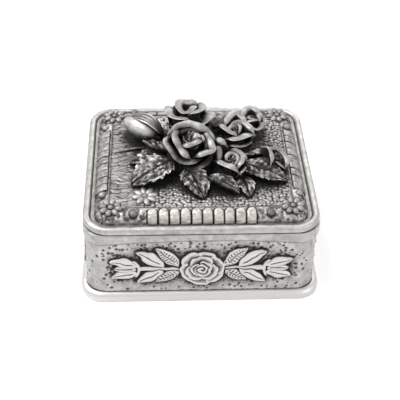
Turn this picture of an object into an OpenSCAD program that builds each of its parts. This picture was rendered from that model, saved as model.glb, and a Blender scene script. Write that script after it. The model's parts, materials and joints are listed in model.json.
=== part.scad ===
// Rosary box: a cast pewter keepsake box with a hinged lid that carries a bouquet in high relief.
// Frame: origin at the centre of the plinth's underside, +Z up, the front faces -Y, the hinge is at +Y.
// Sizes are in millimetres and angles in degrees.

/* [Box] */
// Width over the lid, along X
box_w = 66.6; // [62:0.2:86]
// Depth over the lid, along Y
box_d = 56.6; // [54:0.2:76]
// Corner radius of the lid in plan
corner_r = 7.4; // [7.2:0.1:12]
// Corner radius of the base's walls in plan
base_r = 6.2; // [5.8:0.1:8]
// Corner radius of the plinth in plan
plinth_r = 6.6; // [6:0.1:9]
// Height of the base, from the table to the seam
base_h = 25.2; // [24:0.2:40]
// Thickness of the base's walls
wall_t = 2.3; // [1.6:0.1:3]
// Thickness of the base's floor
floor_t = 2; // [1.2:0.1:3.5]
// How far the wall panels stand back from the lid's outline
wall_in = 0.5; // [0.2:0.1:1]
// How far the wall panels lean out from their top to the plinth
wall_flare = 0.8; // [0:0.1:1.2]
// How far the plinth stands out from the lid's outline
plinth_out = 1.7; // [1:0.1:3]
// Height of the plinth
plinth_h = 3; // [2:0.1:4.5]
// Height of the flared band under the seam
band_h = 4.6; // [3:0.1:6]

/* [Lid] */
// Height of the smooth rim
rim_h = 2; // [1.6:0.1:3]
// Width of the smooth rim
rim_w = 2.2; // [1.8:0.1:2.5]
// Width of the groove inside the rim
groove_w = 1.1; // [0.8:0.1:1.3]
// Width of the sloping border, in plan
border_run = 3.7; // [3.2:0.1:4]
// Height that the sloping border climbs
border_rise = 2.7; // [2:0.1:3.2]
// Thickness of the lid's field
lid_t = 1.8; // [1.4:0.1:2.2]
// Depth of the locating lip inside the base
lip_depth = 1.8; // [1.2:0.1:3]
// Thickness of the locating lip
lip_t = 1.2; // [0.8:0.1:1.6]
// Clearance round the lip
lip_gap = 0.3; // [0.2:0.05:0.5]
// Gap at the seam when the lid is shut
seam_gap = 0.1; // [0.05:0.05:0.3]

/* [Border] */
// Pitch of the rounded bars on the sloping border
bar_pitch = 3.06; // [2.6:0.02:3.2]
// Radius of a bar
bar_r = 1.3; // [1:0.05:1.4]
// Bars on the front and on the back
bars_long = 10; // [6:1:11]
// Bars on each side
bars_short = 9; // [5:1:9]
// Radius of a corner flower
flower_r = 3.3; // [2.6:0.1:3.6]
// Petals of a corner flower
flower_petals = 7; // [5:1:8]
// Radius of a bead beside a corner flower
bead_r = 1.35; // [1:0.05:1.6]
// Radius of the flat daisy on the field
daisy_r = 3.5; // [2.8:0.1:4]

/* [Wall ornament] */
// How far the ornament stands out from the wall
relief_h = 0.9; // [0.5:0.1:1.2]
// Radius of the rose in the middle of a wall
rosette_r = 6; // [4.5:0.1:6.4]

/* [Hinge] */
// Radius of the hinge pin
pin_r = 0.5; // [0.4:0.05:0.6]
// Radius of the hinge knuckles
knuckle_r = 1.2; // [1.1:0.05:1.5]
// Length of the lid's knuckle
lid_knuckle_l = 8; // [6:0.5:12]
// Length of each of the base's two knuckles
base_knuckle_l = 3.85; // [3:0.05:6]
// Running clearance of the pin in the lid's knuckle
pin_gap = 0.05; // [0.03:0.01:0.1]
// Gap between neighbouring knuckles, and between a knuckle and the wall
knuckle_gap = 0.15; // [0.1:0.05:0.3]

/* [Lining] */
// Thickness of the velvet-covered cards
card_t = 1; // [0.6:0.1:1.6]
// Thickness of the felt under the base
felt_t = 0.8; // [0.5:0.1:1.2]
// Clearance round the cards and the felt
card_gap = 0.2; // [0.1:0.05:0.4]

/* [Bouquet] */
// Grid that the bouquet is laid out on: its places and depths count in this unit
bouquet_grid = 1; // [0.94:0.02:1.1]
// Width of the large rose
large_w = 14.8; // [12:0.2:16]
// Width of the rose at the back
back_w = 15.6; // [12:0.2:16]
// Width of the rose at the right
right_w = 11.4; // [9:0.2:12]
// Width of the rose in the far right corner
far_w = 8.8; // [7:0.2:10]
// Width of the small rose at the front right
small_w = 9.4; // [7:0.2:10]
// Width of the opening bud at the right edge
edge_w = 8; // [6:0.2:9]
// Length of the closed bud
bud_l = 13.6; // [11:0.2:15]
// Greatest diameter of the closed bud
bud_d = 8.2; // [6:0.2:9]
// Thickness of a petal
petal_t = 0.9; // [0.6:0.05:1.2]
// Thickness of a leaf
leaf_t = 0.7; // [0.5:0.05:1]
// Radius of the twig
twig_r = 0.42; // [0.3:0.02:0.5]

/* [Hidden] */

pewter = "#b3afa8";
dark_pewter = "#7f7b74";
steel = "#c3c4c6";
velvet = "#5a1f2b";
felt_colour = "#2c2c2e";
overlap = 0.4;

wall_out_x = box_w / 2 - wall_in;
wall_out_y = box_d / 2 - wall_in;
inner_in = wall_in + wall_t;
inner_w = box_w - 2 * inner_in;
inner_d = box_d - 2 * inner_in;
inner_r = base_r - inner_in;
floor_z = felt_t + floor_t;
card_top = floor_z + card_t;
edge_round = 0.9;
foot_chamfer = 0.4;
plinth_in = plinth_out + inner_in / 2;

seam_z = base_h + seam_gap;
rim_top = seam_z + rim_h;
groove_z = seam_z + 1;
field_z = groove_z + border_rise;
border_in = rim_w + groove_w + border_run;
field_x = box_w / 2 - border_in;
field_y = box_d / 2 - border_in;
slope_r = (border_run * border_run + border_rise * border_rise) / (2 * border_rise);
slope_angle = asin(border_run / slope_r);
lip_out = inner_in + lip_gap;
lip_in = lip_out + lip_t;
ceiling_z = field_z - lid_t;
cavity_w = box_w - 2 * lip_in;
cavity_d = box_d - 2 * lip_in;
cavity_r = corner_r - lip_in;
bar_sink = 0.55 * bar_r;

axis_y = box_d / 2 + knuckle_r + knuckle_gap;
axis_z = base_h - knuckle_r - 0.1;
bore_r = pin_r + pin_gap;
press_bore_r = pin_r + 0.01;
stop_h = knuckle_r - 0.2;
stop_l = knuckle_r + 0.4;
pin_half = lid_knuckle_l / 2 + knuckle_gap + base_knuckle_l;
pin_head_l = 0.3;
pin_head_r = pin_r + 0.25;

// Flowers: centre of the rim from the middle of the field, depth of the cup, lean from upright, way it leans,
// turn of its petals
function laid(place, depth, lean, way, turn) = [place * bouquet_grid, depth * bouquet_grid, lean, way, turn];
LARGE = laid([-3.2, -5, 9.5], 8.5, 36, -94, 48);
BACK = laid([-2.5, 9.6, 12], 9.6, 7, 90, 48);
RIGHT = laid([11, 4, 8], 6.8, 6, -60, 0);
FAR = laid([16.2, 12.6, 7], 5.8, 12, 45, 8);
SMALL = laid([9, -7, 6.2], 5.4, 12, -90, 0);
EDGE = laid([22.6, -3.4, 5], 4.4, 22, -30, 0);
BUD = [-16.4, 9.4, 4.4] * bouquet_grid;
BUD_AIM = 145;
BUD_DIP = -4;

// Lumps of the mound under the flowers: centre from the middle of the field, foot radius, top radius, height
LUMPS = bouquet_grid * [[[-2.4, 4.2], 10, 7, 4.2], [[10.8, 4], 7.6, 5, 3.2], [[-9.8, 6.4], 4.6, 3.4, 2.6],
    [[8.4, -4.6], 5.4, 4, 2.4], [[19.4, -1.4], 4.6, 3.4, 1.6], [[14.8, 10.6], 4.8, 3.6, 2.6]];

function arc(cx, cy, r, from, to, steps) =
    [for (i = [0:steps]) let (a = from + (to - from) * i / steps) [cx + r * cos(a), cy + r * sin(a)]];

// A flat outline with round corners, from squares and circles so that its curves stay true
module round_rect(w, d, r) {
    square([w - 2 * r, d], center = true);
    square([w, d - 2 * r], center = true);
    for (sx = [-1, 1], sy = [-1, 1]) translate([sx * (w / 2 - r), sy * (d / 2 - r)]) circle(r, $fn = 48);
}

module slab(w, d, r, z, t) {
    translate([0, 0, z]) linear_extrude(t) round_rect(w, d, r);
}

// Carries a profile round an outline with round corners: its x is the distance outside it, its y the height
module carried_round(w, d, r) {
    straight = [d - 2 * r, w - 2 * r];
    for (k = [0:3]) {
        reach = (k % 2 == 0 ? w : d) / 2;
        side = (k % 2 == 0 ? d : w) / 2;
        rotate([0, 0, 90 * k]) {
            translate([reach, 0, 0]) rotate([90, 0, 0])
                linear_extrude(straight[k % 2], center = true) children();
            translate([reach - r, side - r, 0])
                rotate_extrude(angle = 90, $fn = 64) translate([r, 0]) children();
        }
    }
}

// Leaf outline between two arcs, along X from the origin
module leaf_outline(l, w) {
    r = (l * l / 4 + w * w / 4) / w;
    translate([l / 2, 0]) intersection() {
        translate([0, r - w / 2]) circle(r, $fn = 64);
        translate([0, w / 2 - r]) circle(r, $fn = 64);
    }
}

module ring(r, t) {
    rotate_extrude($fn = 48) translate([r, 0]) circle(t, $fn = 24);
}

// Rose, stems, leaves and tulips of one wall, in a plane with Z out of the wall
module wall_ornament(reach) {
    sunk = 0.5;
    translate([0, 0, -sunk]) cylinder(r = rosette_r, h = sunk + relief_h * 0.5, $fn = 64);
    for (k = [0:2]) translate([0, 0, relief_h * 0.5]) ring(rosette_r * (0.86 - 0.28 * k), relief_h * 0.5);
    translate([0, 0, relief_h * 0.3]) sphere(relief_h * 0.7, $fn = 24);
    for (side = [0, 1]) mirror([side, 0, 0]) {
        stem_end = reach * 0.66;
        stem_start = rosette_r * 0.9;
        translate([stem_start, 0, 0]) rotate([0, 90, 0])
            cylinder(r1 = 0.6, r2 = 0.95, h = stem_end - stem_start, $fn = 24);
        for (up = [-1, 1]) {
            translate([rosette_r * 0.92, up * 0.9, -sunk]) rotate([0, 0, up * 36])
                linear_extrude(sunk + relief_h * 0.7) leaf_outline(reach * 0.34, 3.3);
            translate([reach * 0.42, up * 0.8, -sunk]) rotate([0, 0, up * 30])
                linear_extrude(sunk + relief_h * 0.8) leaf_outline(reach * 0.3, 3.1);
        }
        translate([stem_end, 0, -sunk]) linear_extrude(sunk + relief_h * 0.9) difference() {
            circle(2.9, $fn = 48);
            translate([1.4, 0]) circle(3.1, $fn = 48);
            translate([-3, -4]) square([2.2, 8]);
        }
        translate([reach * 0.7, 0, -sunk])
            linear_extrude(sunk + relief_h * 0.75) leaf_outline(reach * 0.3, 5.4);
    }
}

module lug(x, l, bore) {
    translate([x, axis_y, axis_z]) rotate([0, 90, 0]) cylinder(r = bore, h = l, $fn = 48);
}

module base_box() {
    ornament_z = plinth_h + (base_h - band_h - plinth_h) * 0.53;
    color(pewter) difference() {
        union() {
            carried_round(box_w, box_d, base_r) polygon([[-inner_in, 0], [wall_flare - wall_in, 0],
                [wall_flare - wall_in, plinth_h], [wall_flare * 0.3 - wall_in, (plinth_h + base_h - band_h) / 2],
                [-wall_in, base_h - band_h], [-wall_in * 0.7, base_h - band_h * 0.6],
                [0, base_h - band_h * 0.25], [0, base_h], [-inner_in, base_h]]);
            carried_round(box_w + 2 * plinth_out, box_d + 2 * plinth_out, plinth_r) polygon(concat(
                [[-plinth_in, 0], [-foot_chamfer, 0], [0, foot_chamfer]],
                arc(-edge_round, plinth_h - edge_round, edge_round, 0, 90, 4), [[-plinth_in, plinth_h]]));
            slab(inner_w + overlap, inner_d + overlap, inner_r + overlap / 2, felt_t, floor_t);
            for (k = [0:3]) rotate([0, 0, 90 * k])
                translate([0, -(k % 2 == 0 ? wall_out_y : wall_out_x), ornament_z]) rotate([90, 0, 0])
                    wall_ornament((k % 2 == 0 ? box_w : box_d) * 0.375);
            for (side = [-1, 1]) {
                x = side > 0 ? lid_knuckle_l / 2 + knuckle_gap : -pin_half;
                lug(x, base_knuckle_l, knuckle_r);
                translate([x, box_d / 2 - wall_in - overlap, axis_z - knuckle_r])
                    cube([base_knuckle_l, axis_y - box_d / 2 + wall_in + overlap, knuckle_r + stop_h]);
                translate([x, axis_y, axis_z]) cube([base_knuckle_l, stop_l, stop_h]);
            }
        }
        lug(-pin_half - 1, 2 * pin_half + 2, press_bore_r);
    }
}

module base_felt() {
    color(felt_colour) slab(inner_w - 2 * card_gap, inner_d - 2 * card_gap, inner_r, 0, felt_t);
}

module lining_floor() {
    color(velvet) slab(inner_w - 2 * card_gap, inner_d - 2 * card_gap, inner_r - card_gap, floor_z, card_t);
}

// A card on the inside of one wall, between the round corners and below the lid's lip
module wall_card(k) {
    l = (k % 2 == 0 ? inner_w : inner_d) - 2 * inner_r;
    h = base_h - lip_depth - 2 * card_gap - card_top;
    color(velvet) rotate([0, 0, 90 * k])
        translate([-l / 2, -(k % 2 == 0 ? inner_d : inner_w) / 2, card_top]) cube([l, card_t, h]);
}

module hinge_pin() {
    color(steel) {
        lug(-pin_half - pin_head_l, 2 * (pin_half + pin_head_l), pin_r);
        for (x = [-pin_half - pin_head_l, pin_half]) lug(x, pin_head_l, pin_head_r);
    }
}

// One rounded bar that climbs the sloping border, in the X-Z plane, with its head on the field's edge
module bar() {
    head = 14;
    sunk_r = slope_r - bar_sink;
    translate([0, 0, field_z - slope_r]) {
        rotate([90, 0, 0]) rotate_extrude(angle = slope_angle - head, start = 90 - slope_angle, $fn = 64)
            translate([sunk_r, 0]) circle(bar_r, $fn = 24);
        rotate([0, head, 0]) translate([0, 0, sunk_r]) sphere(bar_r * 1.06, $fn = 24);
    }
}

module border_bars() {
    for (k = [0:3]) {
        count = k % 2 == 0 ? bars_short : bars_long;
        rotate([0, 0, 90 * k]) for (i = [0:count - 1])
            translate([(k % 2 == 0 ? field_x : field_y), (i - (count - 1) / 2) * bar_pitch, 0]) bar();
    }
}

module corner_flower() {
    petal_r = flower_r * 0.36;
    sphere(petal_r * 0.9, $fn = 24);
    for (i = [0:flower_petals - 1]) rotate([0, 0, 360 * i / flower_petals])
        translate([flower_r - petal_r, 0, 0]) sphere(petal_r, $fn = 24);
}

module lid_casting() {
    knuckle_web_top = seam_z + rim_h * 0.7;
    color(pewter) difference() {
        union() {
            carried_round(box_w, box_d, corner_r) polygon(concat(
                [[-lip_out, seam_z], [-0.2, seam_z], [0, seam_z + 0.25]],
                arc(-edge_round, rim_top - edge_round, edge_round, 0, 90, 4),
                arc(-rim_w + 0.5, rim_top - 0.5, 0.5, 90, 180, 3),
                [[-rim_w, groove_z]],
                arc(-border_in, field_z - slope_r, slope_r, 90 - slope_angle, 90, 6),
                [[-border_in - overlap, field_z], [-border_in - overlap, ceiling_z], [-lip_in, ceiling_z],
                    [-lip_in, seam_z - lip_depth], [-lip_out, seam_z - lip_depth]]));
            translate([-field_x - overlap / 2, -field_y - overlap / 2, ceiling_z])
                cube([2 * field_x + overlap, 2 * field_y + overlap, lid_t]);
            border_bars();
            for (sx = [-1, 1], sy = [-1, 1]) {
                translate([sx * (field_x - 0.9), sy * (field_y - 0.3), field_z]) corner_flower();
                translate([sx * (bars_long * bar_pitch / 2 + 3.8), sy * (field_y + 1.9), field_z - 0.6])
                    sphere(bead_r, $fn = 24);
                translate([sx * (field_x + 1.6), sy * (bars_short * bar_pitch / 2 + 1.6), field_z - 0.4])
                    sphere(bead_r * 0.85, $fn = 24);
            }
            translate([-field_x + 9.4, -field_y + 3.6, field_z]) daisy();
            lug(-lid_knuckle_l / 2, lid_knuckle_l, knuckle_r);
            translate([-lid_knuckle_l / 2, box_d / 2 + knuckle_gap, axis_z])
                cube([lid_knuckle_l, knuckle_r, knuckle_web_top - axis_z]);
            translate([-lid_knuckle_l / 2, box_d / 2 - overlap, seam_z])
                cube([lid_knuckle_l, overlap + knuckle_gap * 2, knuckle_web_top - seam_z]);
        }
        slab(cavity_w, cavity_d, cavity_r, seam_z - lip_depth - 1, ceiling_z - seam_z + lip_depth + 1);
        lug(-lid_knuckle_l / 2 - 1, lid_knuckle_l + 2, bore_r);
    }
}

module daisy() {
    petals = 8;
    sphere(daisy_r * 0.22, $fn = 24);
    for (i = [0:petals - 1]) rotate([0, 0, 360 * (i + 0.25) / petals]) translate([daisy_r * 0.16, 0, -0.3])
        linear_extrude(0.8) leaf_outline(daisy_r * 0.84, daisy_r * 0.44);
}

module lid_lining() {
    color(velvet) slab(cavity_w - 2 * card_gap, cavity_d - 2 * card_gap, cavity_r - card_gap,
        ceiling_z - card_t, card_t);
}

// Puts a flower's own frame, foot at the origin and rim at its depth, in its place on the field
module seated(f) {
    translate([f[0].x, f[0].y, field_z + f[0].z]) rotate([0, 0, f[3]]) rotate([0, f[2], 0])
        translate([0, 0, -f[1]]) children();
}

// The solid foot that a flower is cast with; the mound has a socket of the same shape
module foot(f, w) {
    seated(f) cylinder(r1 = w * 0.12, r2 = w * 0.33, h = f[1] * 0.42, $fn = 16);
}

// The space that a flower fills
module bulk(f, w) {
    more = 0.25;
    seated(f) {
        translate([0, 0, -0.3])
            cylinder(r1 = w * 0.2 + more, r2 = w * 0.5 + more, h = f[1] * 0.5 + 0.3, $fn = 20);
        translate([0, 0, f[1] * 0.5]) cylinder(r = w * 0.5 + more, h = f[1] * 0.8, $fn = 20);
    }
}

// Everything under the lid's field
module under_field() {
    translate([-box_w, -box_d, 0]) cube([2 * box_w, 2 * box_d, field_z]);
}

module mound_solid(more = 0) {
    for (m = LUMPS) translate([m[0].x, m[0].y, field_z])
        cylinder(r1 = m[1] + more, r2 = m[2] + more, h = m[3] + more, $fn = 32);
}

module bouquet_mound() {
    color(dark_pewter) difference() {
        mound_solid();
        foot(LARGE, large_w);
        foot(BACK, back_w);
        foot(RIGHT, right_w);
        foot(FAR, far_w);
        foot(SMALL, small_w);
        foot(EDGE, edge_w);
        under_field();
    }
}

// Middle of a petal at v from foot to rim: [radius, height], for a cup that opens and rolls out at its rim
function petal_mid(r, h, v) =
    [r * (0.32 + 0.62 * sin(90 * v)) + r * 0.12 * pow(v, 6), h * (v - 0.08 * pow(v, 8))];

function petal_loop(r, h, t, steps) = let (
    along = [for (i = [0:steps]) petal_mid(r, h, i / steps)],
    out = [for (i = [0:steps]) let (
        d = petal_mid(r, h, min(1, i / steps + 0.02)) - petal_mid(r, h, max(0, i / steps - 0.02)))
        [d.y, -d.x] / norm(d) * t / 2])
    concat([for (i = [0:steps]) along[i] + out[i]], [along[steps] + [out[steps].x * 0.3, t * 0.4]],
        [for (i = [steps:-1:0]) along[i] - out[i]]);

// One cupped petal: loops of the cup's wall, turned about the flower's axis and lower towards its two sides
module petal(r, h, span, t) {
    steps = 3;
    turns = 5;
    n = 2 * steps + 3;
    rings = [for (j = [0:turns]) let (u = 2 * j / turns - 1, a = u * span / 2, low = 1 - 0.16 * u * u)
        [for (p = petal_loop(r + 0.35 * t * u, h, t * (1 - 0.55 * u * u), steps))
            [p.x * cos(a), p.x * sin(a), p.y * low]]];
    polyhedron(points = [for (q = rings) each q], faces = concat(
        [[for (i = [n - 1:-1:0]) i]],
        [[for (i = [0:n - 1]) turns * n + i]],
        [for (j = [0:turns - 1], i = [0:n - 1]) let (a = j * n + i, b = j * n + (i + 1) % n)
            each [[a, b, a + n], [b, b + n, a + n]]]), convexity = 6);
}

module sepals(w, h) {
    for (i = [0:4]) rotate([0, 0, 72 * i]) {
        hull() {
            translate([w * 0.16, 0, h * 0.1]) sphere(0.5, $fn = 6);
            translate([w * 0.33, 0, h * 0.36]) cube([0.5, w * 0.2, 0.5], center = true);
        }
        hull() {
            translate([w * 0.33, 0, h * 0.36]) cube([0.5, w * 0.2, 0.5], center = true);
            translate([w * 0.42, 0, h * 0.47]) sphere(0.3, $fn = 6);
        }
    }
}

// A rose of its own width, in whorls of petals from the outside in. A whorl: petals, share of the radius and
// share of the height
module rose(f, w, whorls) {
    color(pewter) difference() {
        union() {
            foot(f, w);
            difference() {
                seated(f) rotate([0, 0, f[4]]) {
                    sepals(w, f[1]);
                    for (k = [0:len(whorls) - 1]) let (q = whorls[k]) for (i = [0:q[0] - 1])
                        rotate([0, 0, 360 * i / q[0] + 47 * k])
                            petal(w / 2 * q[1], f[1] * q[2], 360 / q[0] * 1.3, petal_t);
                    cylinder(r1 = w * 0.2, r2 = w * 0.35, h = f[1] * 0.42, $fn = 12);
                    translate([0, 0, f[1] * 0.4])
                        cylinder(r1 = w * 0.3, r2 = w * 0.05, h = f[1] * 0.46, $fn = 12);
                }
                mound_solid(0.06);
            }
        }
        under_field();
        children();
    }
}

FULL = [[5, 0.9, 0.86], [4, 0.66, 0.96], [3, 0.38, 0.94]];
OPEN = [[4, 0.9, 0.84], [3, 0.5, 1]];
HALF = [[3, 0.9, 1], [2, 0.45, 0.96]];

module rose_large() rose(LARGE, large_w, FULL);

module rose_back() rose(BACK, back_w, [[5, 0.9, 0.62], [3, 0.6, 1]]) bulk(LARGE, large_w);

module rose_right() rose(RIGHT, right_w, OPEN) {
    bulk(LARGE, large_w);
    bulk(BACK, back_w);
}

module rose_far() rose(FAR, far_w, OPEN) bulk(RIGHT, right_w);

module rose_small() rose(SMALL, small_w, OPEN) {
    bulk(LARGE, large_w);
    bulk(RIGHT, right_w);
}

module rosebud_edge() rose(EDGE, edge_w, HALF) {
    bulk(RIGHT, right_w);
    translate([field_x - 0.4, -box_d / 2, 0]) cube([box_w, box_d, field_z + bar_r]);
}

// The closed bud's own frame: X from its foot to its tip
module bud_seat() {
    translate([BUD.x, BUD.y, field_z + BUD.z]) rotate([0, 0, BUD_AIM]) rotate([0, BUD_DIP, 0]) children();
}

module bud_bulk() {
    bud_seat() rotate([0, 90, 0])
        cylinder(d1 = bud_d * 0.8, d2 = bud_d, h = bud_l / 2, center = true, $fn = 24);
}

module rosebud_closed() {
    color(pewter) difference() {
        bud_seat() rotate([0, 90, 0]) rotate_extrude($fn = 32)
            polygon(concat([[0, -bud_l / 2]],
                [for (i = [0:9]) let (v = i / 9)
                    [bud_d / 2 * pow(sin(180 * (0.08 + 0.88 * pow(v, 0.9))), 0.8),
                    bud_l * (v * 0.96 - 0.48)]], [[0, bud_l / 2]]));
        under_field();
        bulk(LARGE, large_w);
        bulk(BACK, back_w);
        mound_solid();
    }
}

module dab(p) {
    translate([p.x, p.y, field_z + p.z]) cube([0.3, 0.3, leaf_t], center = true);
}

// A toothed leaf from its stalk to its tip, each half a run of flat facets, arched along and folded across
module leaf(from, to, w, arch, fold) {
    steps = 6;
    run = to - from;
    side = [-run.y, run.x, 0] / norm([run.x, run.y]);
    mids = bouquet_grid * [for (i = [0:steps]) let (v = i / steps)
        from + run * v + [0, 0, 4 * arch * v * (1 - v)]];
    wide = bouquet_grid * [for (i = [0:steps]) let (v = i / steps, tooth = i % 2 == 0 ? 1 : 0.86)
        w / 2 * pow(sin(180 * pow(v, 0.75)), 0.8) * tooth];
    color(pewter) difference() {
        for (s = [-1, 1], i = [0:steps - 1]) hull() {
            dab(mids[i]);
            dab(mids[i] + side * s * wide[i] + [0, 0, fold * wide[i]]);
            dab(mids[i + 1]);
            dab(mids[i + 1] + side * s * wide[i + 1] + [0, 0, fold * wide[i + 1]]);
        }
        mound_solid(0.06);
        under_field();
        children();
    }
}

module leaf_front_left() leaf([-8, -4.6, 3.2], [-19.4, -13, 0.3], 10.5, 1, 0.12) {
    bulk(LARGE, large_w);
}

module leaf_front_centre() leaf([-4.6, -6, 2.6], [0.6, -19.6, 0.3], 6.4, 0.5, 0.12) bulk(LARGE, large_w);

module leaf_front_curled() leaf([3.4, -7.2, 1.6], [10.6, -16.6, 0.3], 4.6, 0.7, 0.3) {
    bulk(LARGE, large_w);
    bulk(SMALL, small_w);
}

module leaf_front_right() leaf([11.4, -8.4, 0.6], [16, -18.2, 0.3], 4.8, 0.3, 0.1) bulk(SMALL, small_w);

module leaf_right() leaf([12.4, -5.6, 1.6], [25, -12, 0.3], 8.2, 0.8, 0.1) {
    bulk(SMALL, small_w);
    bulk(EDGE, edge_w);
}

module leaf_right_upper() leaf([12.6, -1.6, 2.8], [22.6, 4.6, 0.3], 6.6, 0.8, 0.1) {
    bulk(RIGHT, right_w);
    bulk(EDGE, edge_w);
}

module leaf_back() leaf([4.6, 11.4, 2.8], [11.6, 20.6, 0.3], 7.6, 0.6, 0.1) {
    bulk(BACK, back_w);
    bulk(RIGHT, right_w);
    bulk(FAR, far_w);
}

module leaf_left() leaf([-9.6, -0.6, 1.8], [-20.6, -3.2, 0.3], 5.6, 0.8, 0.1) {
    bulk(LARGE, large_w);
    intersection() {
        leaf_front_left();
        translate([-box_w, -box_d, field_z]) cube([box_w, box_d, box_w]);
    }
}

module sepal_left() leaf([-10.6, 2.2, 3], [-17, 0.9, 4.2], 4.2, -0.6, 0.4) {
    bulk(LARGE, large_w);
    bud_bulk();
    leaf_left();
}

// A twig along the field, from under the bouquet nearly to the field's left edge
module twig_left() {
    root = 11.6 * bouquet_grid;
    reach = field_x - 1.3 - root;
    points = [for (q = [[0, 3.4, 1.2], [0.22, 4.3, 0.9], [0.48, 4.6, 0.5], [0.74, 3.9, 0.45], [1, 3.1, 0.4]])
        [-root - reach * q.x, q.y * bouquet_grid, q.z * bouquet_grid]];
    color(pewter) difference() {
        for (i = [0:len(points) - 2], s = [0, 1]) hull() for (j = [0, 1]) {
            v = (s + j) / 2;
            p = points[i] * (1 - v) + points[i + 1] * v;
            translate([p.x, p.y, field_z + p.z]) sphere(twig_r, $fn = 8);
        }
        mound_solid(0.06);
        bud_bulk();
        under_field();
    }
}

base_box();
base_felt();
lining_floor();
wall_card(0);  // lining_front
wall_card(1);  // lining_right
wall_card(2);  // lining_back
wall_card(3);  // lining_left
hinge_pin();
lid_casting();
lid_lining();
bouquet_mound();
rose_large();
rose_back();
rose_right();
rose_far();
rose_small();
rosebud_edge();
rosebud_closed();
leaf_front_left();
leaf_front_centre();
leaf_front_curled();
leaf_front_right();
leaf_right();
leaf_right_upper();
leaf_back();
leaf_left();
sepal_left();
twig_left();
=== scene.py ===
"""Rosary box of antiqued pewter: relief walls, a barred and stippled lid, and a bouquet of cast roses."""
import json
import math

import bpy
import numpy as np
from mathutils import Matrix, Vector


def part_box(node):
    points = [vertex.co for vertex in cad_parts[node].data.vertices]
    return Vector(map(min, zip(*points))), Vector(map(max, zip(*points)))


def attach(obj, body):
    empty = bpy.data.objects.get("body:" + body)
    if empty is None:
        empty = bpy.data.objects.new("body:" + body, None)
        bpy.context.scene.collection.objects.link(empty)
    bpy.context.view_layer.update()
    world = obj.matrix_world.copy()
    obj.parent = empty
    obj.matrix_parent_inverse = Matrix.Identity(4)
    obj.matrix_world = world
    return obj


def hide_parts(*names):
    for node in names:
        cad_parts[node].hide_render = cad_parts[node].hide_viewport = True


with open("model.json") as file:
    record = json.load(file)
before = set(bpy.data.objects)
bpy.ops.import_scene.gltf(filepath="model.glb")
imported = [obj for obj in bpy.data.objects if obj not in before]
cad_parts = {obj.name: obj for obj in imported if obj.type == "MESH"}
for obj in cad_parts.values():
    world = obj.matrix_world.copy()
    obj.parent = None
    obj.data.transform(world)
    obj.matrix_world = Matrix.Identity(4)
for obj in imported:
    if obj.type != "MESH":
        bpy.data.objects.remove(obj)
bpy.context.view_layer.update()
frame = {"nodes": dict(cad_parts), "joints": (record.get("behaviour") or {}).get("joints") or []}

bl_info = {
    "name": "Rosary Box",
    "version": (1, 0, 0),
    "blender": (4, 5, 0),
    "location": "View3D > Sidebar > Rosary Box",
    "description": "Builds an antiqued pewter rosary box round its packed frame",
    "category": "Add Mesh",
}

MM = 0.001
BASE = "base"
LID = "lid"


def node_box(node):
    """Lowest and highest corner of a frame node, in millimetres."""
    low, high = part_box(node)
    return np.array(low) / MM, np.array(high) / MM


BASE_LOW, BASE_HIGH = node_box("base_box")
LID_LOW, LID_HIGH = node_box("lid_casting")
MOUND_LOW, MOUND_HIGH = node_box("bouquet_mound")
KNUCKLE_Y = 1000 * frame["joints"][0]["pos_m"][1]
KNUCKLE_Z = 1000 * frame["joints"][0]["pos_m"][2]
KNUCKLE_RADIUS = 1.2
LID_KNUCKLE_HALF = 4.0
BASE_KNUCKLE = (4.15, 8.0)
KNUCKLE_BEVEL = 0.15
BARS = (10, 9)  # bars along the front and back, and along the two sides
WALL_STEP, RING_STEP, FIELD_STEP, MOUND_STEP = 0.16, 0.21, 0.165, 0.25  # grid steps, in millimetres
CORE_STEP = 0.7
LENS = 78.96
CAMERA_PLACE = (-0.0124517, -0.1998546, 0.1942903)  # in metres
CAMERA_ANGLES = (-3.777, 42.218, 1.866)  # azimuth, elevation and roll, in degrees


def length(name, description, millimetres):
    """A size that the sidebar shows in the scene's own unit."""
    return bpy.props.FloatProperty(name=name, description=description, default=millimetres * MM,
                                   unit="LENGTH", subtype="DISTANCE", precision=4)


def colour(name, description, red, green, blue):
    """A colour that the sidebar shows as a swatch."""
    return bpy.props.FloatVectorProperty(name=name, description=description, size=3, subtype="COLOR",
                                         default=(red, green, blue), min=0.0, max=1.0)


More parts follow.
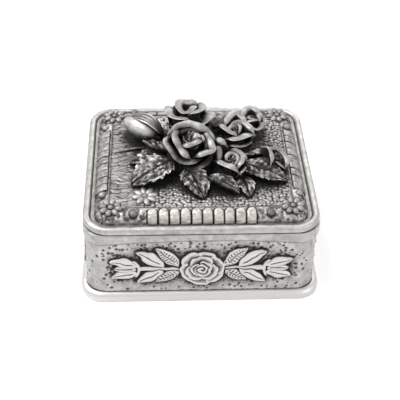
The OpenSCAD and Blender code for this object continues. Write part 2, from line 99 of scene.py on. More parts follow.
class RosaryBoxSizes(bpy.types.PropertyGroup):
    """Sizes of the box, in real lengths."""

    lid_width: length("Lid width", "Width over the lid's rim, along X", -2 * LID_LOW[0])
    lid_depth: length("Lid depth", "Depth over the lid's rim, along Y", -2 * LID_LOW[1])
    corner_radius: length("Lid corner radius", "Radius of the lid's corners in plan", 7.4)
    base_radius: length("Base corner radius", "Radius of the wall's corners in plan", 6.2)
    plinth_radius: length("Plinth corner radius", "Radius of the plinth's corners in plan", 6.6)
    wall_flare: length("Wall flare", "How far the wall panels lean out towards the plinth", 0.8)
    seam_height: length("Seam height", "Height of the seam over the table", BASE_HIGH[2])
    seam_gap: length("Seam gap", "Gap between lid and base when shut", 0.1)
    plinth_out: length("Plinth overhang", "How far the plinth stands out", LID_LOW[0] - BASE_LOW[0])
    plinth_height: length("Plinth height", "Height of the plinth", 3.0)
    wall_recess: length("Wall recess", "How far the wall panels stand back from the lid", 0.5)
    wall_inside: length("Wall inside", "Distance from the lid's outline in to the wall's inner face", 2.8)
    floor_top: length("Floor top", "Height of the metal floor's top", 2.8)
    relief: length("Wall relief", "How far the wall ornament stands out", 1.0)
    rim_height: length("Rim height", "Height of the smooth rim", 2.0)
    rim_width: length("Rim width", "Width of the smooth rim", 2.2)
    groove_width: length("Groove width", "Width of the groove inside the rim", 1.1)
    slope_run: length("Slope run", "Width of the sloping border in plan", 3.7)
    field_height: length("Field height", "Height of the lid's stippled field", MOUND_LOW[2])
    ceiling: length("Ceiling", "Height of the lid's underside", 27.2)
    lip_bottom: length("Lip bottom", "Height of the lower edge of the locating lip", 23.5)
    bar_pitch: length("Bar pitch", "Pitch of the bars on the sloping border", 3.06)
    pebble: length("Pebble size", "Size of the stippling on the field", 1.0)
    petal: length("Petal thickness", "Thickness of a rose petal", 0.85)


class RosaryBoxColours(bpy.types.PropertyGroup):
    """Colours of the box and its stage."""

    rubbed: colour("Rubbed pewter", "Pewter where it is rubbed bright", 0.61, 0.60, 0.58)
    satin: colour("Satin pewter", "Pewter on the plain faces", 0.30, 0.293, 0.28)
    dull: colour("Dull pewter", "Pewter that is half covered by patina", 0.08, 0.074, 0.070)
    patina: colour("Patina", "The dark patina in the hollows", 0.009, 0.0075, 0.0075)
    cream: colour("Cream tarnish", "Warm tarnish on the border bars", 0.62, 0.575, 0.52)
    velvet: colour("Velvet", "The lining inside", 0.16, 0.012, 0.03)
    felt: colour("Felt", "The felt under the base", 0.02, 0.02, 0.023)
    steel: colour("Steel", "The hinge pin", 0.55, 0.55, 0.56)
    floor: colour("Floor", "The table and backdrop", 0.90, 0.90, 0.90)


def mm(name):
    """One of the box's sizes, in millimetres."""
    return getattr(bpy.context.scene.rosary_sizes, name) / MM


def tint(name):
    """One of the box's colours, with full opacity."""
    return (*getattr(bpy.context.scene.rosary_colours, name), 1.0)


def eased(t):
    """0 below 0, 1 above 1, and 3t^2 - 2t^3 between."""
    t = np.clip(t, 0.0, 1.0)
    return t * t * (3 - 2 * t)


def bell(t):
    """The bell curve exp(-t^2)."""
    return np.exp(-np.square(t))


def scattered(i, j, seed):
    """A fixed number from 0 to 1 for each pair of whole numbers: the fraction of a large sine."""
    x = np.sin(i * 127.1 + j * 311.7 + seed * 74.7) * 43758.5453
    return x - np.floor(x)


def unevenness(x, y, seed):
    """Value noise from -1 to 1: scattered numbers at whole steps, eased into each other between."""
    i, j = np.floor(x), np.floor(y)
    u, v = eased(x - i), eased(y - j)
    low = scattered(i, j, seed) * (1 - u) + scattered(i + 1, j, seed) * u
    high = scattered(i, j + 1, seed) * (1 - u) + scattered(i + 1, j + 1, seed) * u
    return 2 * (low * (1 - v) + high * v) - 1


def pebbles(x, y, seed):
    """Distance to the nearest of the points scattered one to a unit cell, and that point's own number."""
    nearest = np.full(np.shape(x), 9.0)
    own = np.zeros(np.shape(x))
    for di in (-1, 0, 1):
        for dj in (-1, 0, 1):
            i, j = np.floor(x) + di, np.floor(y) + dj
            away = np.hypot(x - i - 0.15 - 0.7 * scattered(i, j, seed),
                            y - j - 0.15 - 0.7 * scattered(i, j, seed + 1))
            own = np.where(away < nearest, scattered(i, j, seed + 2), own)
            nearest = np.minimum(nearest, away)
    return nearest, own


def blurred(field, cells):
    """The grid blurred by a bell curve of so many cells, along its rows and then its columns."""
    reach = int(3 * cells) + 1
    weights = np.exp(-0.5 * np.square(np.arange(-reach, reach + 1) / cells))
    weights = weights / weights.sum()
    for axis in (0, 1):
        size = field.shape[axis]
        spread = np.pad(field, [(reach, reach) if a == axis else (0, 0) for a in (0, 1)], mode="edge")
        field = sum(w * np.take(spread, range(n, n + size), axis=axis) for n, w in enumerate(weights))
    return field


def rubbed(height, step, depth=0.25, reach=1.2):
    """Brightness from 0 to 1 of a relief: bright where it stands over its blurred self, dark under it."""
    near = height - blurred(height, 0.35 / step)
    wide = height - blurred(height, reach / step)
    return np.clip(0.72 + near / depth * 0.75 + wide / depth * 0.22, 0.0, 1.0)


def grid_quads(rows, columns, close_rows=False, close_columns=False):
    """Quads of a grid of points, turned so that columns crossed with rows point outwards."""
    i = np.arange(rows if close_rows else rows - 1)[:, None]
    j = np.arange(columns if close_columns else columns - 1)[None, :]
    i2, j2 = (i + 1) % rows, (j + 1) % columns
    corners = [i * columns + j, i * columns + j2, i2 * columns + j2, i2 * columns + j]
    return np.stack(np.broadcast_arrays(*corners), -1).reshape(-1, 4)


class Form:
    """Points, quads, triangles and the brightness of each point, gathered until they become one mesh."""

    def __init__(self):
        self.points, self.bright, self.quads, self.triangles, self.count = [], [], [], [], 0

    def add(self, points, bright, quads=None, triangles=None):
        """Adds points with faces that count from the first of them."""
        points = np.asarray(points, float).reshape(-1, 3)
        self.points.append(points)
        self.bright.append(np.broadcast_to(bright, len(points)).astype(float))
        if quads is not None:
            self.quads.append(np.asarray(quads) + self.count)
        if triangles is not None:
            self.triangles.append(np.asarray(triangles) + self.count)
        self.count += len(points)

    def ring(self, points, bright):
        """A grid closed both ways, such as a profile carried round the box."""
        self.add(points, np.ravel(bright), grid_quads(*points.shape[:2], True, True))

    def tube(self, points, bright):
        """Closed loops in rows, one after the other, with a fan on the first and the last."""
        rows, around = points.shape[:2]
        quads = grid_quads(rows, around, False, True)
        ends = np.stack([points[0].mean(0), points[-1].mean(0)])
        bright = np.broadcast_to(bright, (rows, around))
        loop = np.arange(around)
        after = (loop + 1) % around
        first = np.stack([after, loop, np.full(around, rows * around)], -1)
        last = np.stack([loop, after, np.full(around, rows * around + 1)], -1)
        last = last + np.array([1, 1, 0]) * (rows - 1) * around
        self.add(np.concatenate([points.reshape(-1, 3), ends]),
                 np.concatenate([bright.ravel(), [bright[0].mean(), bright[-1].mean()]]),
                 quads, np.concatenate([first, last]))

    def slab(self, points, back, bright):
        """A sheet of points, closed by a skirt to the edge of the sheet behind, and a fan there."""
        rows, columns = points.shape[:2]
        number = np.arange(rows * columns).reshape(rows, columns)
        edge = np.concatenate([number[0], number[1:, -1], number[-1, -2::-1], number[-2:0:-1, 0]])
        behind = np.asarray(back).reshape(-1, 3)[edge]
        centre = back[rows // 2, columns // 2]
        count = len(edge)
        inner = rows * columns + np.arange(count)
        skirt = np.stack([edge, inner, np.roll(inner, -1), np.roll(edge, -1)], -1)
        fan = np.stack([np.roll(inner, -1), inner, np.full(count, rows * columns + count)], -1)
        bright = np.ravel(bright)
        self.add(np.concatenate([points.reshape(-1, 3), behind, centre[None]]),
                 np.concatenate([bright, bright[edge], [0.3]]),
                 np.concatenate([grid_quads(rows, columns), skirt]), fan)

    def piece(self, name, body, material, slot, nodes, sharp=50.0):
        """Makes the mesh object, in metres, that rides a body and stands for its frame nodes."""
        points = np.concatenate(self.points)
        faces = [f for group in self.quads + self.triangles for f in group.tolist()]
        mesh = bpy.data.meshes.new(name)
        mesh.from_pydata((points * MM).tolist(), [], faces)
        mesh.validate()
        mesh.shade_smooth()
        mesh.set_sharp_from_angle(angle=math.radians(sharp))
        mesh.attributes.new("bright", "FLOAT", "POINT").data.foreach_set("value", np.concatenate(self.bright))
        mesh.materials.append(material)
        obj = bpy.data.objects.new(name, mesh)
        bpy.context.scene.collection.objects.link(obj)
        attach(obj, body)
        if nodes:
            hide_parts(*nodes)
        return obj


def quarter_turned(xy, quarters):
    """Plan points turned about the middle by quarter turns."""
    for _ in range(quarters % 4):
        xy = np.stack([-xy[..., 1], xy[..., 0]], -1)
    return xy


def side_stations(side, step, radius, grow=0.0):
    """Stations along one side of an outline, from the middle of one round corner to the next.

    The outline is the lid's, grown outwards, with corners of the given radius. The run is measured along
    it from the side's middle. Past the straight part the normal turns by the run beyond it over the
    corner's radius. Returns the corner centres, the normals and the runs.
    """
    width, depth = mm("lid_width") / 2 + grow, mm("lid_depth") / 2 + grow
    if side % 2:
        width, depth = depth, width
    half = width - radius
    end = half + radius * math.pi / 4
    run = np.linspace(-end, end, 2 * round(end / step) + 1)
    straight = np.clip(run, -half, half)
    angle = (run - straight) / radius
    centre = np.stack([straight, np.full_like(run, radius - depth)], -1)
    normal = np.stack([np.sin(angle), -np.cos(angle)], -1)
    return quarter_turned(centre, side), quarter_turned(normal, side), run


def round_stations(step, radius, grow=0.0):
    """The stations of all four sides in one closed loop, with each station's side and run."""
    sides = [side_stations(k, step, radius, grow) for k in range(4)]
    centre = np.concatenate([s[0][:-1] for s in sides])
    normal = np.concatenate([s[1][:-1] for s in sides])
    run = np.concatenate([s[2][:-1] for s in sides])
    side = np.concatenate([np.full(len(s[2]) - 1, k) for k, s in enumerate(sides)])
    return centre, normal, run, side


def carried(centre, normal, radius, offset, height):
    """Points at an offset outside an outline and at a height, for rows of both and stations in columns."""
    plan = centre + normal * (radius + np.asarray(offset))[..., None]
    height = np.broadcast_to(height, plan.shape[:-1])
    return np.concatenate([plan, height[..., None]], -1)


def profile_rows(*stretches):
    """Joins stretches of (offset, height) points into two columns of numbers."""
    rows = np.concatenate([np.asarray(s, float).reshape(-1, 2) for s in stretches])
    return rows[:, :1], rows[:, 1:]


def line(start, end, count):
    """Evenly spaced points from start up to, but without, the end."""
    return np.linspace(start, end, count, endpoint=False)


def arc(cx, cy, rx, ry, first, last, count):
    """Points of an elliptic arc between two angles in degrees."""
    a = np.radians(np.linspace(first, last, count))
    return np.stack([cx + rx * np.cos(a), cy + ry * np.sin(a)], -1)


def leaf_relief(x, y, base, tip, width, height, hatched):
    """A pointed leaf in relief: a cushion over an almond outline, grooved along it, with cuts beside."""
    axis = np.subtract(tip, base)
    long = np.hypot(*axis)
    along = ((x - base[0]) * axis[0] + (y - base[1]) * axis[1]) / long / long
    across = ((y - base[1]) * axis[0] - (x - base[0]) * axis[1]) / long
    s = np.clip(along, 0.0, 1.0)
    half = width / 2 * np.sin(np.pi * s ** 0.85) ** 0.8 + 1e-6
    share = np.abs(across) / half
    body = np.where((along > 0) & (along < 1), np.sqrt(np.clip(1 - share ** 3, 0, 1)), 0.0)
    groove = bell(across / 0.16) * eased((s - 0.1) / 0.2) * eased((1.02 - s) / 0.15)
    cuts = 0.5 + 0.5 * np.cos(2 * np.pi * (s * long / 0.95 - share * 0.7))
    cuts = cuts ** 2 * bell((share - 0.45) / 0.3) * hatched
    return height * body * (0.8 + 0.2 * s) - body * (0.62 * groove + 0.50 * cuts) * height


def stem_relief(x, y, start, end, thin, thick):
    """A round stem from start to end whose radius grows from thin to thick."""
    axis = np.subtract(end, start)
    s = np.clip(((x - start[0]) * axis[0] + (y - start[1]) * axis[1]) / np.dot(axis, axis), 0, 1)
    away = np.hypot(x - start[0] - axis[0] * s, y - start[1] - axis[1] * s)
    radius = thin + (thick - thin) * s
    return np.sqrt(np.clip(radius ** 2 - away ** 2, 0, None))


ROSETTE_PETALS = [
    # way it faces and span in degrees, radius, height, centre's shift: from the outermost petals inwards
    (70, 110, 6.1, 0.62, 0.5), (132, 95, 6.6, 0.66, 0.4), (200, 105, 6.2, 0.70, 0.4),
    (268, 110, 6.0, 0.66, 0.5), (335, 110, 6.3, 0.74, 0.5), (18, 95, 6.2, 0.70, 0.5),
    (95, 130, 4.7, 0.84, 0.3), (215, 130, 4.6, 0.88, 0.3), (330, 130, 4.7, 0.92, 0.3),
    (40, 150, 3.2, 1.0, 0.2), (190, 160, 3.1, 1.04, 0.2), (300, 140, 2.9, 1.06, 0.2),
]


def rosette_relief(x, y):
    """A full-blown rose in relief, from 0 to about 1, drawn in slightly uneven coordinates.

    Each petal is a sector whose height climbs towards its rim as the square of the radius and then falls
    off steeply; a later, inner petal covers the earlier ones. The heart is a spiral ridge.
    """
    x, y = x + 0.28 * unevenness(x * 0.7, y * 0.7, 15), y + 0.28 * unevenness(x * 0.7, y * 0.7, 16)
    height = np.zeros(np.shape(x))
    for way, span, radius, high, shift in ROSETTE_PETALS:
        a = math.radians(way)
        px, py = x - shift * math.cos(a), y - shift * math.sin(a)
        r = np.hypot(px, py)
        off = (np.degrees(np.arctan2(py, px)) - way + 180) % 360 - 180
        share = np.abs(off) / (span / 2)
        rim = radius * (1 - 0.22 * share ** 3)
        inside = eased((rim - r) / 0.35) * (share < 1) * eased((1.04 - share) * 8)
        petal = high * (0.26 + 0.74 * np.clip(r / rim, 0, 1) ** 2.2)
        height = np.where(inside > 0.02, petal * inside + height * (1 - inside) * (r > rim * 0.9), height)
    r = np.hypot(x, y)
    turn = np.arctan2(y, x)
    spiral = np.cos(turn - r * 4.2) * 0.5 + 0.5
    heart = 0.62 + 0.48 * spiral ** 1.5 * eased(r / 0.5)
    return np.where(r < 2.1, heart, height)


def ornament_relief(x, y, seed):
    """Height from 0 to about 1 of the rose, stems, leaves, calyxes and opening buds of one wall."""
    height = rosette_relief(x, y)
    for flip in (-1, 1):
        u = x * flip + 0.30 * unevenness(x * 0.6, y * 0.6, seed)
        v = y + 0.34 * unevenness(x * 0.5 + 9, y * 0.5, seed + flip)
        parts = [
            stem_relief(u, v, (6.2, 0.1), (17.4, 0.4), 0.42, 0.85) * 0.95,
            leaf_relief(u, v, (6.4, 1.2), (12.9, 8.0), 4.2, 0.8, 1.0),
            leaf_relief(u, v, (6.6, -0.8), (12.9, -4.6), 3.5, 0.75, 1.0),
            leaf_relief(u, v, (10.6, 1.0), (18.3, 7.0), 4.4, 0.85, 0.0),
            leaf_relief(u, v, (10.8, -0.6), (18.6, -4.9), 3.9, 0.8, 0.0),
            stem_relief(u - 0.12 * v * v, v, (17.9, -2.4), (17.9, 2.7), 0.5, 0.55) * 1.4,
            leaf_relief(u, v, (18.3, 1.3), (26.2, 3.3), 3.9, 0.82, 0.0),
            leaf_relief(u, v, (18.3, -1.2), (25.8, -3.0), 3.7, 0.8, 0.0),
            leaf_relief(u, v, (18.6, 0.1), (25.0, 0.1), 3.0, 0.7, 0.0),
        ]
        for part in parts:
            height = np.maximum(height, part)
    return height


def punched(x, y, dots, depth):
    """Round punch marks: a bell-shaped dent for each (x, y, radius), worked out near the dot only."""
    dent = np.zeros(np.shape(x))
    xs, ys = x[0], y[:, 0]
    for cx, cy, radius in dots:
        i = slice(*np.searchsorted(ys, (cy - 2.5 * radius, cy + 2.5 * radius)))
        j = slice(*np.searchsorted(xs, (cx - 2.5 * radius, cx + 2.5 * radius)))
        away = np.hypot(x[i, j] - cx, y[i, j] - cy) / radius
        dent[i, j] = np.maximum(dent[i, j], depth * bell(away ** 1.5) * min(1.0, radius / 0.4))
    return dent


def wall_dots(stream, reach, end):
    """Punch marks round the buds, up the corners, and in a band over and under the ornament."""
    dots = []
    for _ in range(250):
        kind = stream.random()
        flip = stream.choice((-1, 1))
        if kind < 0.60:
            x, y = stream.normal(reach + 0.2, 1.9), stream.normal(1.2, 4.2)
        elif kind < 0.68:
            x, y = stream.uniform(reach, end), stream.uniform(-8, 9)
        elif kind < 0.92:
            x, y = stream.uniform(0, reach), stream.uniform(7.2, 10.0)
        else:
            x, y = stream.uniform(0, reach), stream.uniform(-8.2, -6.4)
        dots.append((flip * x, y, stream.uniform(0.22, 0.58)))
    return dots


def wall_sheet(side, step):
    """One wall's outer face: the profile of the wall carried along its side, with the ornament standing out.

    The profile climbs from inside the plinth, where it leans out by the flare, swells out to the seam over
    an arched line and turns in over the top edge. The relief, less the punch marks and a groove over the
    plinth, is added to its offset. Returns the points, the back and the brightness.
    """
    radius = mm("base_radius")
    centre, normal, run = side_stations(side, step, radius)
    recess, seam, foot = mm("wall_recess"), mm("seam_height"), mm("plinth_height")
    round_edge = 0.3
    offset, height = profile_rows(
        np.stack([np.zeros(150), np.linspace(foot - 0.5, seam - round_edge, 150)], -1),
        arc(-round_edge, seam - round_edge, round_edge, round_edge, 15, 90, 5),
        [(-1.2, seam)],
    )
    end = run[-1]
    x = np.broadcast_to(run, (len(height), len(run)))
    z = np.broadcast_to(height, x.shape)
    scale = 1.0 if side % 2 == 0 else 0.83
    middle = foot + 9.0
    arch = seam - 2.7 - 1.69 * np.square(x / end) + 0.12 * unevenness(x * 0.3, z * 0, side)
    sink = recess * (1 - eased((z - arch + 0.25) / 1.1)) * (z < seam - 0.4)
    sink = sink - mm("wall_flare") * np.clip((arch - z) / (arch - foot), 0, 1) ** 1.7
    relief = ornament_relief(x / scale, z - middle, 11 + side)
    stream = np.random.default_rng(40 + side)
    dots = wall_dots(stream, 24.5 * scale, end)
    dent = punched(x, z - middle, dots, 0.15)
    dent = dent * (relief < 0.15) * (z > foot + 0.4) * (z < arch + 0.2)
    near = eased(blurred((relief > 0.1).astype(float), 2.0 / step) * 2.4)
    grain = (0.5 + 0.5 * unevenness(x * 2.3, z * 2.3, 5)) * (0.5 + 0.5 * unevenness(x * 1.1, z * 1.1, 6))
    rough = near * (relief < 0.1) * 0.13 * grain
    groove = 0.22 * bell((z - foot - 0.12 - 0.14 * unevenness(x * 1.4, z * 0, 3)) / 0.17)
    swell = 0.05 * unevenness(x * 0.12, z * 0.16, 8)
    out = mm("relief") * relief - dent - rough - groove + swell
    fade = eased((seam - 0.5 - z) / 0.6)
    offset = offset - sink + out * fade
    bright = rubbed(out * fade, step) - 0.40 * near * (relief < 0.12) * (0.35 + 1.3 * grain) - 0.8 * dent
    bright = bright + 0.12 * eased(relief * 3) - 0.62 * np.clip(0.78 - relief, 0, 1) * (relief > 0.06)
    # painted shade: a dark line along the step at the arched line
    bright = bright - 0.14 * bell((z - arch) / 0.22) * (z < seam - 1) + 0.05 * unevenness(x * 0.5, z * 0.5, 9)
    back = carried(centre, normal, radius, np.full(x.shape, -1.6), z)
    return carried(centre, normal, radius, offset, z), back, np.clip(bright, 0, 1)


def plinth_ring():
    """The plinth: a rounded moulding carried round its own outline, closed inside the wall."""
    out, top, edge = mm("plinth_out"), mm("plinth_height"), 1.5
    radius = mm("plinth_radius")
    centre, normal, run, _ = round_stations(CORE_STEP, radius, out)
    offset, height = profile_rows(
        [(-0.4, 0.0), (-0.12, 0.1)],
        line((0, 0.4), (0, top - edge), 7),
        arc(-edge, top - edge, edge, edge, 0, 90, 9),
        line((-edge - 0.2, top), (-out - 0.2, top - 0.12), 4),
        [(-out - 1.6, top - 0.1), (-out - 1.6, 0.2), (-out - 1.4, 0.0)],
    )
    wave = 0.06 * unevenness(run * 0.25, height * 0.8, 21) * (offset > -1) * (height > 0.3)
    # brighter along the top edge and darker at the foot; painted shade where the moulding runs in under the
    # wall
    bright = 0.86 + 0.06 * unevenness(run * 0.5, height * 0.9, 22) + 0.12 * (height > top - 0.5)
    bright = bright + 0.14 - 0.60 * eased((-offset - out + 0.2) / 0.35) - 0.25 * bell(height / 0.3)
    return carried(centre, normal, radius, offset + wave, height), np.clip(bright, 0, 1)


def wall_core():
    """Inner faces, seam and underside edge of the base: one closed profile behind the four wall sheets."""
    radius = mm("base_radius")
    centre, normal, run, _ = round_stations(CORE_STEP, radius)
    inside, seam, hidden = mm("wall_inside"), mm("seam_height") - 0.04, -1.1
    offset, height = profile_rows(
        [(hidden, 0.1)], line((hidden, 1.0), (hidden, seam - 0.2), 4),
        [(hidden, seam), (0.25 - inside, seam), (0.06 - inside, seam - 0.07)],
        line((-inside, seam - 0.25), (-inside, 0.4), 8),
        [(-inside, 0.15), (0.15 - inside, 0.0)],
    )
    return carried(centre, normal, radius, np.broadcast_to(offset, (len(offset), len(run))), height), 0.55


def plate(half_width, half_depth, radius, bottom, top, edge, crown=0.0):
    """A flat card with round corners and rounded edges: loops from its underside up and in to its middle."""
    sides = []
    for k in range(4):
        w, d = (half_width, half_depth) if k % 2 == 0 else (half_depth, half_width)
        run = np.concatenate([line(radius - w, w - radius, 24), np.full(8, w - radius)])
        angle = np.radians(np.concatenate([np.zeros(24), line(0, 90, 8)]))
        xy = np.stack([run, np.full(32, radius - d)], -1)
        away = np.stack([np.sin(angle), -np.cos(angle)], -1)
        sides.append((quarter_turned(xy, k), quarter_turned(away, k)))
    centre = np.concatenate([s[0] for s in sides])
    normal = np.concatenate([s[1] for s in sides])
    loops = [(-0.6, bottom), (-0.12, bottom), (0.0, bottom + 0.12)]
    loops += [(c[0], c[1]) for c in arc(-edge, top - edge, edge, edge, 0, 90, 6)]
    rows = []
    for inset, height in loops:
        plan = centre + normal * (radius + inset)
        rows.append(np.concatenate([plan, np.full((len(plan), 1), height)], -1))
    for share in (0.93, 0.8, 0.6, 0.35, 0.12):
        plan = (centre + normal * (radius - edge)) * share
        rows.append(np.concatenate([plan, np.full((len(plan), 1), top + crown * (1 - share ** 4))], -1))
    return np.array(rows)


def barrel(outline, start, end, bevel):
    """A bar along X with the given outline in Y and Z, its two ends bevelled by shrinking the outline."""
    middle = outline.mean(0)
    rows = []
    for x, shrink in ((start, bevel), (start + bevel * 0.35, bevel * 0.3), (start + bevel, 0.0),
                      (end - bevel, 0.0), (end - bevel * 0.35, bevel * 0.3), (end, bevel)):
        away = outline - middle
        reach = np.linalg.norm(away, axis=1, keepdims=True)
        ring = middle + away * (reach - shrink) / reach
        rows.append(np.concatenate([np.full((len(ring), 1), x), ring], -1))
    return np.array(rows)


def lid_ring(step):
    """Rim, groove, barred slope, underside and locating lip of the lid: one closed profile carried round.

    Over the slope, each bar lifts the surface along the slope's own normal by a cushion, the square root of
    1 - away^7. Its outline is straight at the sides. Its upper end is half round on the front, whose bars are
    higher and tarnished cream, and square on the other three sides.
    """
    outline = mm("corner_radius")
    centre, normal, run, side = round_stations(step, outline)
    seam = mm("seam_height") + mm("seam_gap")
    rim, groove, slope = mm("rim_width"), mm("groove_width"), mm("slope_run")
    field, ceiling, lip = mm("field_height"), mm("ceiling"), mm("lip_bottom")
    floor = seam + 1.0
    rise = field - floor
    radius = (slope * slope + rise * rise) / (2 * rise)
    top = -(rim + groove + slope)
    steepest = math.degrees(math.asin(slope / radius))
    swing = np.radians(np.linspace(0, 180, 20))
    bead = np.stack([-rim / 2 + rim / 2 * np.sign(np.cos(swing)) * np.abs(np.cos(swing)) ** 0.8,
                     seam + 0.45 + (mm("rim_height") - 0.45) * np.abs(np.sin(swing)) ** 0.8], -1)
    climb = arc(top, field - radius, radius, radius, 90 - steepest, 90, 40)
    stretches = [
        [(-0.35, seam), (-0.1, seam + 0.08)], bead,
        line((-rim - 0.1, floor + 0.12), (-rim - groove + 0.1, floor), 6),
        climb, [(top - 0.35, field - 0.03), (top - 0.6, field - 0.3)],
        [(top - 0.6, ceiling), (-4.4, ceiling), (-4.3, ceiling - 0.1)],
        line((-4.3, ceiling - 0.4), (-4.3, lip + 0.2), 4),
        [(-4.15, lip), (-3.25, lip), (-3.1, lip + 0.2), (-3.1, seam - 0.15), (-3.0, seam)],
    ]
    offset, height = profile_rows(*stretches)
    first = 2 + len(bead) + 6
    rows = slice(first, first + len(climb))
    angle = np.radians(np.linspace(90 - steepest, 90, len(climb)))[:, None]
    v = radius * (angle - angle[0])
    end = v[-1, 0]
    pitch = mm("bar_pitch")
    front = side == 0
    half = np.where(front, 1.38, 1.40)
    proud = np.where(front, 0.50, 0.36)
    bars = np.where(side % 2 == 0, *BARS)
    place = run / pitch + (bars - 1) / 2
    number = np.clip(np.round(place), 0, bars - 1)
    x = (place - number) * pitch
    uneven = 0.12 * (scattered(number, side, 4) - 0.5)
    beyond = np.clip(v - (end - half - 0.15), 0, None)
    square = np.clip(1.25 + (v - end) / 0.9, 0, 9)
    away = np.where(front, np.hypot(x + uneven, beyond) / half, np.maximum(np.abs(x + uneven) / half, square))
    bar = np.clip(1 - away ** 7, 0, 1) ** 0.5 * eased((v + 0.1) / 0.3)
    between = (np.abs(run) < pitch * bars / 2 + 0.2) * eased((1.25 - away) * 5) * (away > 0.96)
    streaks = 0.16 * unevenness(run * 0.9, v * 3.2, 37) * bar * front
    streaks = streaks - 0.16 * bell((v - 0.75) / 0.16) * front * bar
    scuffs = (0.07 * unevenness(run * 0.8, v * 1.6, 31) + 0.04 * unevenness(run * 2.5, v * 3.5, 35)) * bar
    rough = 0.20 * unevenness(run * 1.3, v * 1.3, 32) + 0.10 * unevenness(run * 2.9, v * 2.9, 36)
    rough = rough * (away > 1.15)
    lift = proud * bar - 0.28 * between * (bar < 0.05) + scuffs + rough * eased(v) * eased((end - v) * 1.5)
    offset = np.broadcast_to(offset, (len(offset), len(run))).copy()
    height = np.broadcast_to(height, offset.shape).copy()
    offset[rows] += lift * np.cos(angle)
    height[rows] += lift * np.sin(angle)
    smooth_rim = slice(2, 2 + len(bead))
    height[smooth_rim] += 0.05 * unevenness(run * 0.13, 0 * run, 33)
    bright = np.full(offset.shape, 0.6)
    bright[smooth_rim] = 0.83 + 0.05 * unevenness(run * 0.4, np.arange(len(bead))[:, None] * 0.3, 34)
    bright[len(bead):first] = 0.72
    bright[1 + len(bead)] = 0.10
    bright[:2] = 0.2
    # painted light: the slope on the three other sides is a little darker than on the front
    slope_bright = 0.66 - 0.06 * (side > 0) + 0.12 * bar - 0.42 * between * (bar < 0.3)
    slope_bright = slope_bright + scuffs * 1.6 + rough * 1.5 + streaks
    slope_bright = np.minimum(slope_bright * (0.82 + 0.18 * eased((v - 0.1) / 0.7)), 0.92)
    bright[rows] = slope_bright
    cream = np.zeros(offset.shape)
    cream[rows] = bar * front
    return carried(centre, normal, outline, offset, height), np.clip(bright, 0, 1), cream


def field_relief(x, y):
    """Stippling of the lid's field: round pebbles, drawn out into ripples towards the left."""
    size = mm("pebble")
    ripple = eased((-14.5 - x) / 4.0)
    near, own = pebbles(x / size, y / size, 51)
    round_ones = np.sqrt(np.clip(1 - (near / 0.62) ** 2, 0, 1)) * (0.6 + 0.4 * own)
    bend = y + 0.55 * unevenness(x * 0.45, y * 0.3, 52) + 0.25 * unevenness(x * 1.1, y * 0.9, 57)
    long, own = pebbles(x / 2.6, bend / 0.92, 53)
    waves = np.sqrt(np.clip(1 - (long / 0.7) ** 2, 0, 1))
    fine = 0.05 * unevenness(x * 2.6, y * 2.6, 56)
    stipple = 0.34 * (round_ones * (1 - ripple) + waves * ripple * 0.9 * (0.6 + 0.4 * own))
    return stipple + fine * (1 - ripple) + 0.04 * unevenness(x * 0.2, y * 0.2, 54)


def field_half():
    """Half the width and half the depth of the flat field inside the sloping border."""
    half_x = mm("lid_width") / 2 - mm("rim_width") - mm("groove_width") - mm("slope_run")
    return half_x, half_x - (mm("lid_width") - mm("lid_depth")) / 2


def field_slab(step):
    """The lid's field: a sheet of stippling with sunk edges over the flat, closed at the ceiling."""
    overlap = 0.35
    half_x, half_y = (half + overlap for half in field_half())
    xs = np.linspace(-half_x, half_x, round(2 * half_x / step) + 1)
    ys = np.linspace(-half_y, half_y, round(2 * half_y / step) + 1)
    x, y = np.meshgrid(xs, ys)
    relief = field_relief(x, y)
    edge = np.minimum(half_x - np.abs(x), half_y - np.abs(y))
    sunk = 0.4 * bell((edge - 0.45) / 0.35)
    z = mm("field_height") - 0.16 + relief - sunk
    bright = 0.12 + 0.68 * rubbed(relief, step, 0.24) - 0.35 * bell((edge - 0.45) / 0.5)
    bright = bright + 0.08 * unevenness(x * 0.16, y * 0.16, 55)
    # painted light: the field lighter towards the left and darker towards the right
    bright = bright - 0.07 * eased((x - 6) / 12) + 0.07 * eased((x + 15) / 4)
    back = np.stack([x, y, np.full_like(x, mm("ceiling"))], -1)
    return np.stack([x, y, z], -1), back, np.clip(bright, 0, 1)


def knobs(form, centres, radii, ways, brights):
    """Adds rounded lumps: spheres stretched by three radii each, turned in plan by an angle in degrees."""
    lat = np.radians(np.linspace(-90, 90, 13))[1:-1, None]
    lon = np.radians(line(0, 360, 18))
    ball = np.stack(np.broadcast_arrays(np.cos(lat) * np.cos(lon), np.cos(lat) * np.sin(lon),
                                        np.sin(lat)), -1)
    for centre, radius, way, bright in zip(centres, radii, ways, brights):
        a = math.radians(way)
        part = ball * radius
        part = np.stack([part[..., 0] * math.cos(a) - part[..., 1] * math.sin(a),
                         part[..., 0] * math.sin(a) + part[..., 1] * math.cos(a), part[..., 2]], -1)
        # painted light: each knob lighter on top, with painted shade on its underside
        shade = bright * (0.35 + 0.65 * eased((ball[..., 2] + 0.35) / 1.0))
        form.tube(part + centre, shade)


def bead_flower(form, centre, petal, heart, heart_place, first, brights):
    """Eight long beads round a middle one, the first of them turned by an angle in degrees."""
    ways = line(0, 360, 8) + first
    away = np.stack([np.cos(np.radians(ways)), np.sin(np.radians(ways)), 0 * ways], -1)
    knobs(form, centre + away * 2.25, [petal] * 8, ways, brights[0] + 0 * ways)
    knobs(form, [heart_place], [heart], [0], [brights[1]])


def seat(place, lean, way):
    """The frame of a flower: its axes as columns, its own Z leaning from upright towards a way in plan."""
    turn = Matrix.Rotation(math.radians(way), 3, "Z") @ Matrix.Rotation(math.radians(lean), 3, "Y")
    return np.array(turn), np.asarray(place, float)


